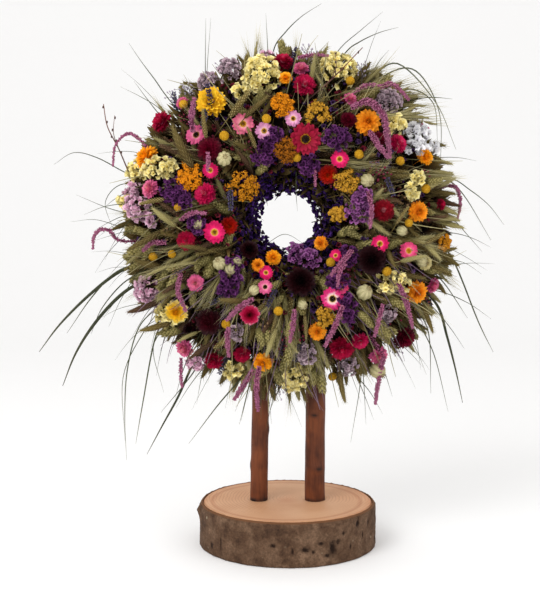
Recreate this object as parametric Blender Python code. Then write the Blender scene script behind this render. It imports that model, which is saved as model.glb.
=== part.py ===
"""Harvest door wreath of dried flowers, held upright on two peeled sticks over a slice of log.

Metres, +Z up, the wreath faces -Y. The origin is the middle of the log slice's underside.
Places on the wreath are given as a clock angle in degrees (0 at the top, clockwise as seen
from the front) and a distance from the middle of the wreath.
"""
import math

import bmesh
import bpy
from mathutils import Matrix, Vector

for old in list(bpy.data.objects):
    bpy.data.objects.remove(old, do_unlink=True)

# Log slice and its bark
SLICE_RADIUS = 0.1195
SLICE_HEIGHT = 0.060
SLICE_BEVEL = 0.0025
BARK_INNER = 0.1199
BARK_OUTER = 0.1246
BARK_BOTTOM = 0.001
SLICE_SIDES = 48

# Sticks: foot and top on X, foot and top radius
POST_BOTTOM = 0.0603
POST_TOP = 0.3062
STICKS = {
    "left": (-0.0406, -0.0365, 0.0125, 0.0116, ((0.110, 0.0012), (0.161, 0.0010))),
    "right": (0.0385, 0.0395, 0.0145, 0.0132, ((0.107, 0.0014), (0.183, 0.0012))),
}
POST_SIDES = 14

# Screws up through the slice, and pins up into the straw ring
SCREW_RADIUS = 0.0025
SCREW_HOLE = 0.0029
SCREW_TOP = 0.100
HEAD_RADIUS = 0.0060
HEAD_HEIGHT = 0.0045
HEAD_HOLE = 0.0066
HEAD_HOLE_DEPTH = 0.0080
PIN_RADIUS = 0.0025
PIN_HOLE = 0.0029
PIN_BOTTOM = 0.2665
PIN_TOP = 0.3465
GAP = 0.0004

# Straw ring and twine
CENTRE_Z = 0.455
RING_RADIUS = 0.125
TUBE_RADIUS = 0.025
RING_STEPS = 40
TUBE_STEPS = 12
TWINE_TURNS = 12
TWINE_STEPS = 12
TWINE_RADIUS = 0.0008
TWINE_PATH = 0.0271

# Bunches: an arch over the front of the straw ring
BUNCHES = 12
BUNCH_ANGLE = 360 / BUNCHES
BUNCH_GAP = 0.0005
BUNCH_HALF_WIDTH = 0.087
BUNCH_DEPTH = 0.080
BUNCH_BACK = 0.012
GROOVE_RADIUS = 0.030
CHANNEL_GAP = 0.0035

# Flower heads stand this far off the bunches
SHELL_HALF_WIDTH = 0.099
SHELL_DEPTH = 0.090
PEG_RADIUS = 0.0012
HEAD_SIDES = 10

# name, shape, clock angle, distance from the middle, diameter (millimetres), colour
HEADS = [
    ("strawflower_yellow_upper_left", "strawflower", 327, 195, 42, "yellow"),
    ("strawflower_crimson_upper_left", "strawflower", 308, 222, 27, "crimson"),
    ("strawflower_orange_left", "strawflower", 294, 215, 36, "orange"),
    ("strawflower_crimson_top", "strawflower", 358, 219, 30, "crimson"),
    ("strawflower_orange_top_right", "strawflower", 39, 176, 34, "orange"),
    ("strawflower_white_heart", "strawflower", 84, 134, 30, "crimson"),
    ("strawflower_orange_right", "strawflower", 86, 182, 28, "orange"),
    ("strawflower_burgundy_right", "strawflower", 115, 130, 40, "burgundy"),
    ("strawflower_orange_lower_right", "strawflower", 119, 206, 31, "orange"),
    ("strawflower_crimson_ruffled", "strawflower", 135, 226, 29, "crimson"),
    ("strawflower_crimson_bottom", "strawflower", 157, 194, 32, "crimson"),
    ("strawflower_burgundy_inner", "strawflower", 168, 87, 40, "burgundy"),
    ("strawflower_orange_bottom", "strawflower", 190, 202, 28, "orange"),
    ("strawflower_magenta_bottom_left", "strawflower", 202, 142, 27, "magenta"),
    ("strawflower_yellow_lower_left", "strawflower", 231, 201, 32, "yellow"),
    ("strawflower_crimson_left", "strawflower", 259, 145, 26, "crimson"),
    ("paper_daisy_pink_top_left", "daisy", 335, 148, 29, "pink"),
    ("paper_daisy_red_top", "daisy", 12, 116, 42, "crimson"),
    ("paper_daisy_pink_right", "daisy", 104, 174, 25, "pink"),
    ("paper_daisy_white_lower_right", "daisy", 150, 126, 31, "pink"),
    ("yarrow_gold_upper_left", "dome", 308, 78, 42, "gold"),
    ("yarrow_orange_left", "dome", 294, 150, 36, "gold"),
    ("yarrow_mustard_top", "dome", 15, 154, 32, "gold"),
    ("seed_pod_lower_left", "pod", 238, 113, 18, "olive"),
]

# Shape of a head as radius and height, both in parts of its radius, from stem to tip
HEAD_SHAPES = {
    "strawflower": ((0.30, -0.34), (0.80, -0.20), (1.00, 0.02), (0.86, 0.24), (0.42, 0.36), (0, 0.33)),
    "daisy": ((0.22, -0.20), (0.72, -0.08), (1.00, 0.00), (0.97, 0.07), (0.36, 0.12), (0, 0.22)),
    "dome": ((0.34, -0.45), (0.93, -0.10), (1.00, 0.08), (0.74, 0.32), (0, 0.46)),
    "pod": ((0.40, -0.90), (0.90, -0.45), (1.00, 0.05), (0.80, 0.62), (0.40, 0.95), (0, 1.05)),
}

# name, thickness at the root and at the tip, and points as X, Y, Z outside the bunch
BLADES = [
    ("grass_blade_left_long", 1.3, 0.5, ((-0.232, -0.022, 0.385), (-0.275, -0.026, 0.352),
                                         (-0.315, -0.028, 0.312), (-0.344, -0.028, 0.274))),
    ("grass_blade_left_low", 1.3, 0.5, ((-0.226, -0.036, 0.356), (-0.262, -0.042, 0.318),
                                        (-0.290, -0.044, 0.275), (-0.309, -0.044, 0.229))),
    ("grass_blade_left_upper", 0.9, 0.4, ((-0.226, -0.020, 0.522), (-0.262, -0.022, 0.541),
                                          (-0.294, -0.022, 0.548), (-0.322, -0.020, 0.532))),
    ("grass_blade_top_left", 0.9, 0.4, ((-0.166, -0.014, 0.624), (-0.183, -0.016, 0.648),
                                        (-0.201, -0.017, 0.672), (-0.218, -0.018, 0.697))),
    ("grass_blade_top", 0.9, 0.4, ((-0.020, -0.014, 0.688), (-0.004, -0.016, 0.712),
                                   (0.018, -0.017, 0.733), (0.045, -0.018, 0.750))),
    ("grass_blade_top_right", 0.9, 0.4, ((0.078, -0.016, 0.684), (0.098, -0.018, 0.699),
                                         (0.124, -0.019, 0.711), (0.150, -0.020, 0.718))),
    ("grass_blade_right_arc", 0.9, 0.4, ((0.224, -0.020, 0.512), (0.250, -0.022, 0.497),
                                         (0.276, -0.023, 0.476), (0.297, -0.024, 0.449))),
    ("grass_blade_bottom_right", 1.3, 0.5, ((0.206, -0.026, 0.338), (0.219, -0.030, 0.296),
                                            (0.231, -0.032, 0.250), (0.241, -0.033, 0.204))),
    ("grass_blade_bottom_left", 1.3, 0.5, ((-0.128, -0.022, 0.264), (-0.152, -0.026, 0.212),
                                           (-0.174, -0.028, 0.172), (-0.196, -0.029, 0.131))),
    ("grass_blade_bottom_left_thin", 0.9, 0.4, ((-0.206, -0.026, 0.308), (-0.222, -0.030, 0.250),
                                                (-0.226, -0.031, 0.185), (-0.224, -0.031, 0.123))),
]
TASSELS = [
    ("amaranth_tail_left", ((-0.232, -0.028, 0.428, 1.3), (-0.244, -0.030, 0.440, 3.0),
                            (-0.257, -0.031, 0.443, 3.6), (-0.266, -0.031, 0.433, 3.4),
                            (-0.268, -0.031, 0.415, 1.6))),
    ("amaranth_tail_right", ((0.222, -0.034, 0.502, 1.3), (0.230, -0.036, 0.497, 3.0),
                             (0.234, -0.037, 0.484, 3.6), (0.233, -0.037, 0.470, 3.2),
                             (0.230, -0.037, 0.457, 1.6))),
    ("amaranth_tail_bottom", ((0.128, -0.044, 0.272, 1.3), (0.127, -0.047, 0.258, 3.0),
                              (0.124, -0.048, 0.240, 3.6), (0.121, -0.048, 0.222, 3.2),
                              (0.119, -0.048, 0.204, 1.6))),
]
ROOT_DEPTH = 0.020

COLOURS = {
    "end_grain": (0.80, 0.60, 0.43, 0.75, 0),
    "bark": (0.22, 0.18, 0.15, 0.90, 0),
    "peeled_stick": (0.33, 0.17, 0.12, 0.70, 0),
    "steel": (0.60, 0.60, 0.60, 0.35, 1),
    "straw": (0.62, 0.52, 0.30, 0.90, 0),
    "twine": (0.30, 0.33, 0.20, 0.85, 0),
    "foliage": (0.30, 0.32, 0.19, 0.90, 0),
    "blade": (0.24, 0.26, 0.18, 0.80, 0),
    "amaranth": (0.48, 0.20, 0.33, 0.90, 0),
    "yellow": (0.90, 0.62, 0.10, 0.70, 0),
    "orange": (0.88, 0.40, 0.05, 0.70, 0),
    "gold": (0.76, 0.50, 0.12, 0.90, 0),
    "crimson": (0.48, 0.04, 0.10, 0.70, 0),
    "burgundy": (0.16, 0.03, 0.07, 0.75, 0),
    "magenta": (0.66, 0.08, 0.32, 0.70, 0),
    "pink": (0.80, 0.42, 0.56, 0.75, 0),
    "olive": (0.52, 0.50, 0.32, 0.80, 0),
}


def finish(name):
    """The material of that name, made on first use."""
    made = bpy.data.materials.get(name)
    if made:
        return made
    red, green, blue, roughness, metallic = COLOURS[name]
    made = bpy.data.materials.new(name)
    made.use_nodes = True
    shader = made.node_tree.nodes["Principled BSDF"]
    shader.inputs["Base Color"].default_value = (red, green, blue, 1)
    shader.inputs["Roughness"].default_value = roughness
    shader.inputs["Metallic"].default_value = metallic
    return made


def keep(name, bm, colour=None):
    """The bmesh as an object: a part of that colour, or a hidden cutter."""
    bmesh.ops.recalc_face_normals(bm, faces=bm.faces)
    mesh = bpy.data.meshes.new(name)
    bm.to_mesh(mesh)
    bm.free()
    obj = bpy.data.objects.new(name, mesh)
    bpy.context.scene.collection.objects.link(obj)
    if colour:
        mesh.materials.append(finish(colour))
    else:
        obj.hide_render = True
        obj.display_type = "WIRE"
    return obj


def cut(obj, cutter):
    """Takes the cutter's shape out of the object."""
    modifier = obj.modifiers.new("cut_" + cutter.name, "BOOLEAN")
    modifier.operation = "DIFFERENCE"
    modifier.solver = "EXACT"
    modifier.object = cutter


def lathe(profile, sides, matrix=None):
    """Turns a profile of radius and height about its own Z axis."""
    bm = bmesh.new()
    corners = [bm.verts.new((radius, 0, height)) for radius, height in profile]
    for first, second in zip(corners, corners[1:]):
        bm.edges.new((first, second))
    if profile[0][0] > 0:
        bm.edges.new((corners[-1], corners[0]))
    bmesh.ops.spin(bm, geom=bm.verts[:] + bm.edges[:], cent=(0, 0, 0), axis=(0, 0, 1),
                   dvec=(0, 0, 0), angle=2 * math.pi, steps=sides, use_merge=True)
    bmesh.ops.remove_doubles(bm, verts=bm.verts, dist=0.00001)
    if matrix:
        bmesh.ops.transform(bm, matrix=matrix, verts=bm.verts)
    return bm


def upright(radius, bottom, top, x):
    """A cylinder standing at that X."""
    bm = bmesh.new()
    place = Matrix.Translation((x, 0, (bottom + top) / 2))
    bmesh.ops.create_cone(bm, cap_ends=True, segments=16, radius1=radius, radius2=radius,
                          depth=top - bottom, matrix=place)
    return bm


def tube(name, points, colour, closed=False):
    """A thin tube through points given as X, Y, Z and radius."""
    curve = bpy.data.curves.new(name, "CURVE")
    curve.dimensions = "3D"
    curve.bevel_depth = 1.0
    curve.bevel_resolution = 0 if closed else 1
    curve.use_fill_caps = not closed
    spline = curve.splines.new("POLY")
    spline.points.add(len(points) - 1)
    for point, (x, y, z, radius) in zip(spline.points, points):
        point.co = (x, y, z, 1)
        point.radius = radius
    spline.use_cyclic_u = closed
    obj = bpy.data.objects.new(name, curve)
    bpy.context.scene.collection.objects.link(obj)
    curve.materials.append(finish(colour))
    return obj


def on_clock(angle, distance, y):
    """The place at that clock angle and distance from the middle of the wreath."""
    turn = math.radians(angle)
    return Vector((distance * math.sin(turn), y, CENTRE_Z + distance * math.cos(turn)))


def head_place(angle, distance):
    """A flower head's middle and the way it faces: off the ring, leaning to the front."""
    across = distance - RING_RADIUS
    reach = max(-0.96, min(0.96, across / SHELL_HALF_WIDTH))
    y = -SHELL_DEPTH * math.sqrt(1 - reach * reach)
    middle = on_clock(angle, distance, y)
    off_ring = (middle - on_clock(angle, RING_RADIUS, 0)).normalized()
    facing = (off_ring * 0.65 + Vector((0, -0.35, 0))).normalized()
    return middle, facing


def facing_matrix(middle, facing, angle):
    """Local Z along the way a head faces, local X along the ring."""
    turn = math.radians(angle)
    along = Vector((math.cos(turn), 0, -math.sin(turn)))
    across = facing.cross(along).normalized()
    return Matrix.Translation(middle) @ Matrix((along, across, facing)).transposed().to_4x4()


def log_slice():
    """The slice of trunk with its two screw holes, and the bark round it."""
    edge = SLICE_RADIUS - SLICE_BEVEL
    profile = [(0, 0), (edge, 0), (SLICE_RADIUS, SLICE_BEVEL),
               (SLICE_RADIUS, SLICE_HEIGHT - SLICE_BEVEL), (edge, SLICE_HEIGHT), (0, SLICE_HEIGHT)]
    slab = keep("wood_slice", lathe(profile, SLICE_SIDES), "end_grain")
    for side, (foot, *_) in STICKS.items():
        hole = upright(SCREW_HOLE, -0.01, SLICE_HEIGHT + 0.01, foot)
        cut(slab, keep("screw_hole_" + side, hole))
        recess = upright(HEAD_HOLE, -0.01, HEAD_HOLE_DEPTH, foot)
        cut(slab, keep("screw_recess_" + side, recess))
    profile = [(BARK_INNER, BARK_BOTTOM), (BARK_OUTER, BARK_BOTTOM), (BARK_OUTER, 0.022),
               (BARK_OUTER, 0.042), (BARK_OUTER, SLICE_HEIGHT), (BARK_INNER, SLICE_HEIGHT)]
    bm = lathe(profile, SLICE_SIDES)
    for corner in bm.verts:
        if corner.co.xy.length > 0.122:
            turn = math.atan2(corner.co.y, corner.co.x)
            rough = math.sin(5 * turn + 60 * corner.co.z) + math.sin(11 * turn - 90 * corner.co.z)
            corner.co.xy *= 1 + 0.003 * rough
    keep("bark_ring", bm, "bark")


def stick(side):
    """A peeled stick with a few knots, bored for its screw below and its pin above."""
    foot, top, foot_radius, top_radius, knots = STICKS[side]
    bm = bmesh.new()
    levels = [POST_BOTTOM, 0.075, 0.100, 0.112, 0.130, 0.160, 0.183, 0.205, 0.250, POST_TOP]
    rows = []
    for level in levels:
        part = (level - POST_BOTTOM) / (POST_TOP - POST_BOTTOM)
        radius = foot_radius + (top_radius - foot_radius) * part
        for height, bump in knots:
            radius += bump * math.exp(-((level - height) / 0.008) ** 2)
        middle = foot + (top - foot) * part
        place = Matrix.Translation((middle, 0, level))
        made = bmesh.ops.create_circle(bm, cap_ends=False, segments=POST_SIDES, radius=radius, matrix=place)
        rows.append(made["verts"])
    for lower, upper in zip(rows, rows[1:]):
        edges = [edge for edge in bm.edges if edge.verts[0] in lower and edge.verts[1] in lower]
        edges += [edge for edge in bm.edges if edge.verts[0] in upper and edge.verts[1] in upper]
        bmesh.ops.bridge_loops(bm, edges=edges)
    bmesh.ops.holes_fill(bm, edges=[edge for edge in bm.edges if edge.is_boundary], sides=0)
    post = keep("post_" + side, bm, "peeled_stick")
    cut(post, keep("screw_pilot_" + side, upright(SCREW_HOLE, POST_BOTTOM - 0.01, SCREW_TOP + 0.003, foot)))
    cut(post, keep("pin_bore_" + side, upright(PIN_HOLE, PIN_BOTTOM - 0.001, POST_TOP + 0.01, top)))


def fixings(side):
    """The screw up through the slice into the stick, and the pin from the stick into the straw."""
    foot, top = STICKS[side][:2]
    head_top = HEAD_HOLE_DEPTH - GAP
    head_bottom = head_top - HEAD_HEIGHT
    profile = [(0, head_bottom), (HEAD_RADIUS, head_bottom), (HEAD_RADIUS, head_top),
               (SCREW_RADIUS, head_top), (SCREW_RADIUS, SCREW_TOP - 0.006), (0, SCREW_TOP)]
    keep("base_screw_" + side, lathe(profile, 12, Matrix.Translation((foot, 0, 0))), "steel")
    profile = [(0, PIN_BOTTOM), (PIN_RADIUS, PIN_BOTTOM), (PIN_RADIUS, PIN_TOP - 0.007), (0, PIN_TOP)]
    keep("wreath_pin_" + side, lathe(profile, 12, Matrix.Translation((top, 0, 0))), "steel")


def straw_ring():
    """The straw form with its two pin sockets, and the twine wound round it."""
    bm = bmesh.new()
    middle = on_clock(0, RING_RADIUS, 0)
    turned = Matrix.Translation(middle) @ Matrix.Rotation(math.radians(90), 4, "Y")
    bmesh.ops.create_circle(bm, cap_ends=False, segments=TUBE_STEPS, radius=TUBE_RADIUS, matrix=turned)
    bmesh.ops.spin(bm, geom=bm.verts[:] + bm.edges[:], cent=(0, 0, CENTRE_Z), axis=(0, 1, 0),
                   dvec=(0, 0, 0), angle=2 * math.pi, steps=RING_STEPS, use_merge=True)
    bmesh.ops.remove_doubles(bm, verts=bm.verts, dist=0.00001)
    ring = keep("straw_ring", bm, "straw")
    for side in STICKS:
        socket = upright(PIN_HOLE, POST_TOP - 0.01, PIN_TOP + 0.002, STICKS[side][1])
        cut(ring, keep("pin_socket_" + side, socket))
    points = []
    for step in range(TWINE_TURNS * TWINE_STEPS):
        angle = 360 * step / (TWINE_TURNS * TWINE_STEPS)
        round_tube = 2 * math.pi * step / TWINE_STEPS
        place = on_clock(angle, RING_RADIUS + TWINE_PATH * math.cos(round_tube), TWINE_PATH * math.sin(round_tube))
        points.append((*place, TWINE_RADIUS))
    tube("binding_twine", points, "twine", closed=True)


def bunch(number):
    """One bunch of dried grasses and flowers, bound over the front of the straw ring."""
    start = (number - 1) * BUNCH_ANGLE
    wide = BUNCH_HALF_WIDTH * (1 + 0.022 * math.sin(2.4 * number))
    outline = []
    for step in range(12):
        turn = math.radians(-7 + step * 194 / 11)
        reach = wide if step < 6 else BUNCH_HALF_WIDTH
        outline.append((RING_RADIUS + reach * math.cos(turn), -BUNCH_DEPTH * math.sin(turn)))
    opening = math.degrees(math.asin(BUNCH_BACK / GROOVE_RADIUS))
    for step in range(9):
        turn = math.radians(180 + opening - step * (180 + 2 * opening) / 8)
        outline.append((RING_RADIUS + GROOVE_RADIUS * math.cos(turn), -GROOVE_RADIUS * math.sin(turn)))
    bm = bmesh.new()
    corners = [bm.verts.new(on_clock(0, distance, y)) for distance, y in outline]
    for first, second in zip(corners, corners[1:] + corners[:1]):
        bm.edges.new((first, second))
    trim = math.degrees(BUNCH_GAP / 0.04)
    bmesh.ops.rotate(bm, verts=bm.verts, cent=(0, 0, CENTRE_Z),
                     matrix=Matrix.Rotation(math.radians(start + trim / 2), 3, "Y"))
    bmesh.ops.spin(bm, geom=bm.verts[:] + bm.edges[:], cent=(0, 0, CENTRE_Z), axis=(0, 1, 0),
                   dvec=(0, 0, 0), angle=math.radians(BUNCH_ANGLE - trim), steps=3, use_merge=False)
    bmesh.ops.holes_fill(bm, edges=[edge for edge in bm.edges if edge.is_boundary], sides=0)
    return keep(f"bunch_{number:02d}", bm, "foliage")


def bunches_at(angle, spread):
    """The numbers of the bunches within that many degrees of a clock angle."""
    return sorted({int(((angle + way) % 360) // BUNCH_ANGLE) + 1 for way in (-spread, 0, spread)})


def head(entry, bunches):
    """A flower head on its stem, with the hole for the stem in the bunch under it."""
    name, shape, angle, distance, across, colour = entry
    radius = across / 2000
    middle, facing = head_place(angle, distance / 1000)
    place = facing_matrix(middle, facing, angle)
    length = (middle - on_clock(angle, RING_RADIUS, 0)).length - 0.060
    low = min(height for _, height in HEAD_SHAPES[shape]) * radius
    for grow in (0, GAP):
        profile = [(0, -length - grow), (PEG_RADIUS + grow, -length - grow), (PEG_RADIUS + grow, low - grow)]
        for part, height in HEAD_SHAPES[shape]:
            wider = part * radius + grow * 1.6 if part else 0
            profile.append((wider, height * radius + (grow * 1.6 if height > 0 else -grow * 0.5)))
        made = lathe(profile, HEAD_SIDES, place)
        if not grow:
            keep(name, made, colour)
            continue
        cutter = keep("seat_" + name, made)
        spread = math.degrees((radius + 0.002) / max(0.06, distance / 1000))
        for number in bunches_at(angle, spread):
            cut(bunches[number], cutter)


def strand(name, points, colour, bunches):
    """A blade of grass or an amaranth tail, with the hole for its root in the bunch."""
    x, y, z, radius = points[0]
    middle = Vector((0, y, CENTRE_Z))
    inward = (middle - Vector((x, y, z))).normalized()
    distance = (Vector((x, y, z)) - middle).length
    root = Vector((x, y, z)) + inward * (distance - 0.190)
    tube(name, [(*root, radius), *points], colour)
    deep = root + inward * 0.001
    out = Vector((x, y, z)) - inward * 0.002
    bm = bmesh.new()
    place = Matrix.Translation((deep + out) / 2) @ inward.to_track_quat("Z", "Y").to_matrix().to_4x4()
    wide = radius * 1.1 + GAP
    bmesh.ops.create_cone(bm, cap_ends=True, segments=8, radius1=wide, radius2=wide,
                          depth=(out - deep).length, matrix=place)
    cutter = keep("root_" + name, bm)
    angle = math.degrees(math.atan2(x, z - CENTRE_Z))
    for number in bunches_at(angle, 1):
        cut(bunches[number], cutter)


log_slice()
for side_name in STICKS:
    stick(side_name)
    fixings(side_name)
straw_ring()
all_bunches = {number: bunch(number) for number in range(1, BUNCHES + 1)}
for side_name, (_, top_x, _, top_r, _) in STICKS.items():
    channel = keep("post_channel_" + side_name, upright(top_r + CHANNEL_GAP, 0.20, 0.320, top_x))
    turned_to = 180 - math.degrees(math.asin(top_x / 0.15))
    for bunch_number in bunches_at(turned_to, 7):
        cut(all_bunches[bunch_number], channel)
for head_entry in HEADS:
    head(head_entry, all_bunches)
for blade_name, root_mm, tip_mm, path in BLADES:
    widths = [root_mm + (tip_mm - root_mm) * step / (len(path) - 1) for step in range(len(path))]
    strand(blade_name, [(*place, width / 1000) for place, width in zip(path, widths)], "blade", all_bunches)
for tassel_name, path in TASSELS:
    strand(tassel_name, [(x, y, z, width / 1000) for x, y, z, width in path], "amaranth", all_bunches)
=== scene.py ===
import math
import random

import bmesh
import bpy
import numpy as np
from mathutils import Matrix, Vector, noise


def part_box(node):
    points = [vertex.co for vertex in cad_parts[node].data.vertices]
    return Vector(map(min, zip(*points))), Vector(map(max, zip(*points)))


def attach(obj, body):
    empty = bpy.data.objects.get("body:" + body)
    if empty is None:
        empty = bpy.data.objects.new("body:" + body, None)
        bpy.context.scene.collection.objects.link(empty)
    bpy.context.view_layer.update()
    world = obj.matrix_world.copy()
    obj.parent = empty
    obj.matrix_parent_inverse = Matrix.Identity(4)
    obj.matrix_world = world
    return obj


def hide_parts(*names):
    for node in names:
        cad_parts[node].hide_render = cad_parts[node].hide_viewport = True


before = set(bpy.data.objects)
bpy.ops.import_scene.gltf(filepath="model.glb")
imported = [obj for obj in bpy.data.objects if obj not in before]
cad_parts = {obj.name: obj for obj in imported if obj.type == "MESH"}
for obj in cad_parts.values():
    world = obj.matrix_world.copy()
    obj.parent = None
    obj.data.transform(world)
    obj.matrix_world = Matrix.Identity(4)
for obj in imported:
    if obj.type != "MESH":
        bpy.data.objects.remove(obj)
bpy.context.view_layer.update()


# ---------------------------------------------------------------------------------------
# Studio: a pale floor that runs up into a pale wall, one large soft window of light from
# the upper left, a weaker one from the right, and the camera a little above the log.

def linear(colour):
    """An sRGB hex colour as linear RGBA."""
    parts = [int(colour[at:at + 2], 16) / 255 for at in (1, 3, 5)]
    return (*[p / 12.92 if p <= 0.04045 else ((p + 0.055) / 1.055) ** 2.4 for p in parts], 1)


def add_node(material, kind, settings, links):
    """One shader node with its settings, and its links as input: (node, output)."""
    made = material.node_tree.nodes.new("ShaderNode" + kind)
    for name, value in settings.items():
        if name == "stops":
            ramp = made.color_ramp.elements
            while len(ramp) < len(value):
                ramp.new(0.5)
            for stop, (position, colour) in zip(ramp, value):
                stop.position = position
                stop.color = linear(colour)
        elif isinstance(name, int) or name in made.inputs:
            made.inputs[name].default_value = value
        else:
            setattr(made, name, value)
    for name, (source, output) in links.items():
        material.node_tree.links.new(source.outputs[output], made.inputs[name])
    return made


def new_material(name, **sockets):
    """A material with its Principled shader's own sockets set."""
    material = bpy.data.materials.new(name)
    material.use_nodes = True
    for socket, value in sockets.items():
        material.node_tree.nodes["Principled BSDF"].inputs[socket.replace("_", " ")].default_value = value
    return material


def new_piece(name, bm, material, body, replaced=()):
    """The bmesh as a finished piece that rides on a body and stands for CAD nodes."""
    mesh = bpy.data.meshes.new(name)
    bm.to_mesh(mesh)
    bm.free()
    mesh.materials.append(material)
    mesh.shade_smooth()
    piece = bpy.data.objects.new(name, mesh)
    bpy.context.scene.collection.objects.link(piece)
    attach(piece, body)
    if replaced:
        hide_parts(*replaced)
    return piece


camera_x, camera_y, camera_z = -0.025, -1.5, 0.442
camera_tilt = 3.55
camera_data = bpy.data.cameras.new("studio_camera")
camera_data.lens = 65
camera_data.sensor_width = 36
camera = bpy.data.objects.new("studio_camera", camera_data)
camera.location = (camera_x, camera_y, camera_z)
camera.rotation_euler = (math.radians(90 - camera_tilt), 0, 0)
bpy.context.scene.collection.objects.link(camera)
bpy.context.scene.camera = camera

paper = new_material("studio_paper", Roughness=0.9, Base_Color=linear("#FCFCFC"))
floor_back, wall_bend = 2.6, 1.6
bm = bmesh.new()
sweep = [(-6, 0), (floor_back, 0)]
sweep += [(floor_back + wall_bend * math.sin(turn), wall_bend - wall_bend * math.cos(turn))
          for turn in np.linspace(0.1, math.pi / 2, 12)]
sweep.append((floor_back + wall_bend, 6))
corners = [bm.verts.new((-6, y, z)) for y, z in sweep]
edges = [bm.edges.new(pair) for pair in zip(corners, corners[1:])]
swept = bmesh.ops.extrude_edge_only(bm, edges=edges)["geom"]
moved = [part for part in swept if isinstance(part, bmesh.types.BMVert)]
bmesh.ops.translate(bm, vec=(12, 0, 0), verts=moved)
bmesh.ops.recalc_face_normals(bm, faces=bm.faces)
bmesh.ops.reverse_faces(bm, faces=[face for face in bm.faces if face.normal.y - face.normal.z > 0])
floor_mesh = bpy.data.meshes.new("studio_floor")
bm.to_mesh(floor_mesh)
bm.free()
floor_mesh.materials.append(paper)
floor_mesh.shade_smooth()
studio_floor = bpy.data.objects.new("studio_floor", floor_mesh)
bpy.context.scene.collection.objects.link(studio_floor)

world = bpy.data.worlds.new("studio_air")
world.use_nodes = True
background = world.node_tree.nodes["Background"]
background.inputs["Color"].default_value = linear("#FCFBFA")
background.inputs["Strength"].default_value = 0.94
bpy.context.scene.world = world
bpy.context.scene.view_settings.view_transform = "Standard"
for name, place, size, power in (
    ("window_light", (-1.1, -1.5, 1.7), 1.2, 23),
    ("fill_light", (1.5, -1.3, 1.0), 1.4, 5),
):
    light = bpy.data.lights.new(name, "AREA")
    light.size = size
    light.energy = power
    lamp = bpy.data.objects.new(name, light)
    lamp.location = place
    lamp.rotation_euler = (Vector((0, 0, 0.4)) - lamp.location).to_track_quat("-Z", "Y").to_euler()
    bpy.context.scene.collection.objects.link(lamp)


# ---------------------------------------------------------------------------------------
# Log slice: end grain sawn flat and oiled. Growth rings about 4.5 mm apart round a pith that
# lies off the middle, a fine open grain, and a darker sapwood edge under the bark.

def colour_and_relief(material, colour, bump=None):
    """Links a colour node and a bump node to the material's shader."""
    shader = material.node_tree.nodes["Principled BSDF"]
    material.node_tree.links.new(colour.outputs["Color"], shader.inputs["Base Color"])
    if bump:
        material.node_tree.links.new(bump.outputs["Normal"], shader.inputs["Normal"])


def finish_node(name, material):
    """Gives a CAD node that stays as it is its finish."""
    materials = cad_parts[name].data.materials
    materials.clear()
    materials.append(material)


end_grain = new_material("oiled_end_grain", Roughness=0.6, Specular_IOR_Level=0.3)
pith = Vector((0.018, 0.012, 0))
place = add_node(end_grain, "TexCoord", {}, {})
centred = add_node(end_grain, "Mapping", {"Location": -pith}, {"Vector": (place, "Object")})
wander = add_node(end_grain, "TexNoise", {"Scale": 1 / 0.05, "Detail": 3}, {"Vector": (centred, "Vector")})
bent = add_node(end_grain, "MixRGB", {"blend_type": "LINEAR_LIGHT", "Fac": 0.006},
                {"Color1": (centred, "Vector"), "Color2": (wander, "Color")})
rings = add_node(end_grain, "TexWave", {"wave_type": "RINGS", "rings_direction": "Z", "Scale": 0.314 / 0.0045,
                                        "Distortion": 1.2, "Detail": 2, "Detail Scale": 3},
                 {"Vector": (bent, "Color")})
grain = add_node(end_grain, "TexNoise", {"Scale": 1 / 0.0012, "Detail": 4, "Roughness": 0.7},
                 {"Vector": (place, "Object")})
ring_tone = add_node(end_grain, "ValToRGB",
                     {"stops": [(0.1, "#CC9A72"), (0.6, "#D4A27A"), (0.95, "#AC7A56")]},
                     {"Fac": (rings, "Color")})
blotch = add_node(end_grain, "TexNoise", {"Scale": 1 / 0.07, "Detail": 2}, {"Vector": (place, "Object")})
blotch_tone = add_node(end_grain, "ValToRGB", {"stops": [(0.35, "#C49068"), (0.65, "#D8AA84")]},
                       {"Fac": (blotch, "Fac")})
wood_tone = add_node(end_grain, "MixRGB", {"Fac": 0.55},
                     {"Color1": (ring_tone, "Color"), "Color2": (blotch_tone, "Color")})
speck = add_node(end_grain, "MapRange", {"From Min": 0.3, "From Max": 0.7, "To Min": 0.88, "To Max": 1.08},
                 {"Value": (grain, "Fac")})
speckled = add_node(end_grain, "HueSaturation", {},
                    {"Color": (wood_tone, "Color"), "Value": (speck, "Result")})
level = add_node(end_grain, "Mapping", {"Scale": (1, 1, 0), "Location": (0.002, 0.003, 0)},
                 {"Vector": (place, "Object")})
from_middle = add_node(end_grain, "VectorMath", {"operation": "LENGTH"}, {"Vector": (level, "Vector")})
outwards = add_node(end_grain, "MapRange", {"From Max": 0.124}, {"Value": (from_middle, "Value")})
age_tone = add_node(end_grain, "ValToRGB",
                    {"stops": [(0.0, "#F2E4DA"), (0.16, "#FFFFFF"), (0.80, "#FFFFFF"), (0.85, "#EAD6C8"),
                               (0.88, "#FFFFFF"), (0.95, "#F6E6DA"), (1.0, "#C8A488")]},
                    {"Fac": (outwards, "Result")})
wood_colour = add_node(end_grain, "MixRGB", {"blend_type": "MULTIPLY", "Fac": 1.0},
                       {"Color1": (speckled, "Color"), "Color2": (age_tone, "Color")})
wood_bump = add_node(end_grain, "Bump", {"Strength": 0.25, "Distance": 0.0006}, {"Height": (grain, "Fac")})
colour_and_relief(end_grain, wood_colour, wood_bump)
finish_node("wood_slice", end_grain)
_, slice_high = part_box("wood_slice")


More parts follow.
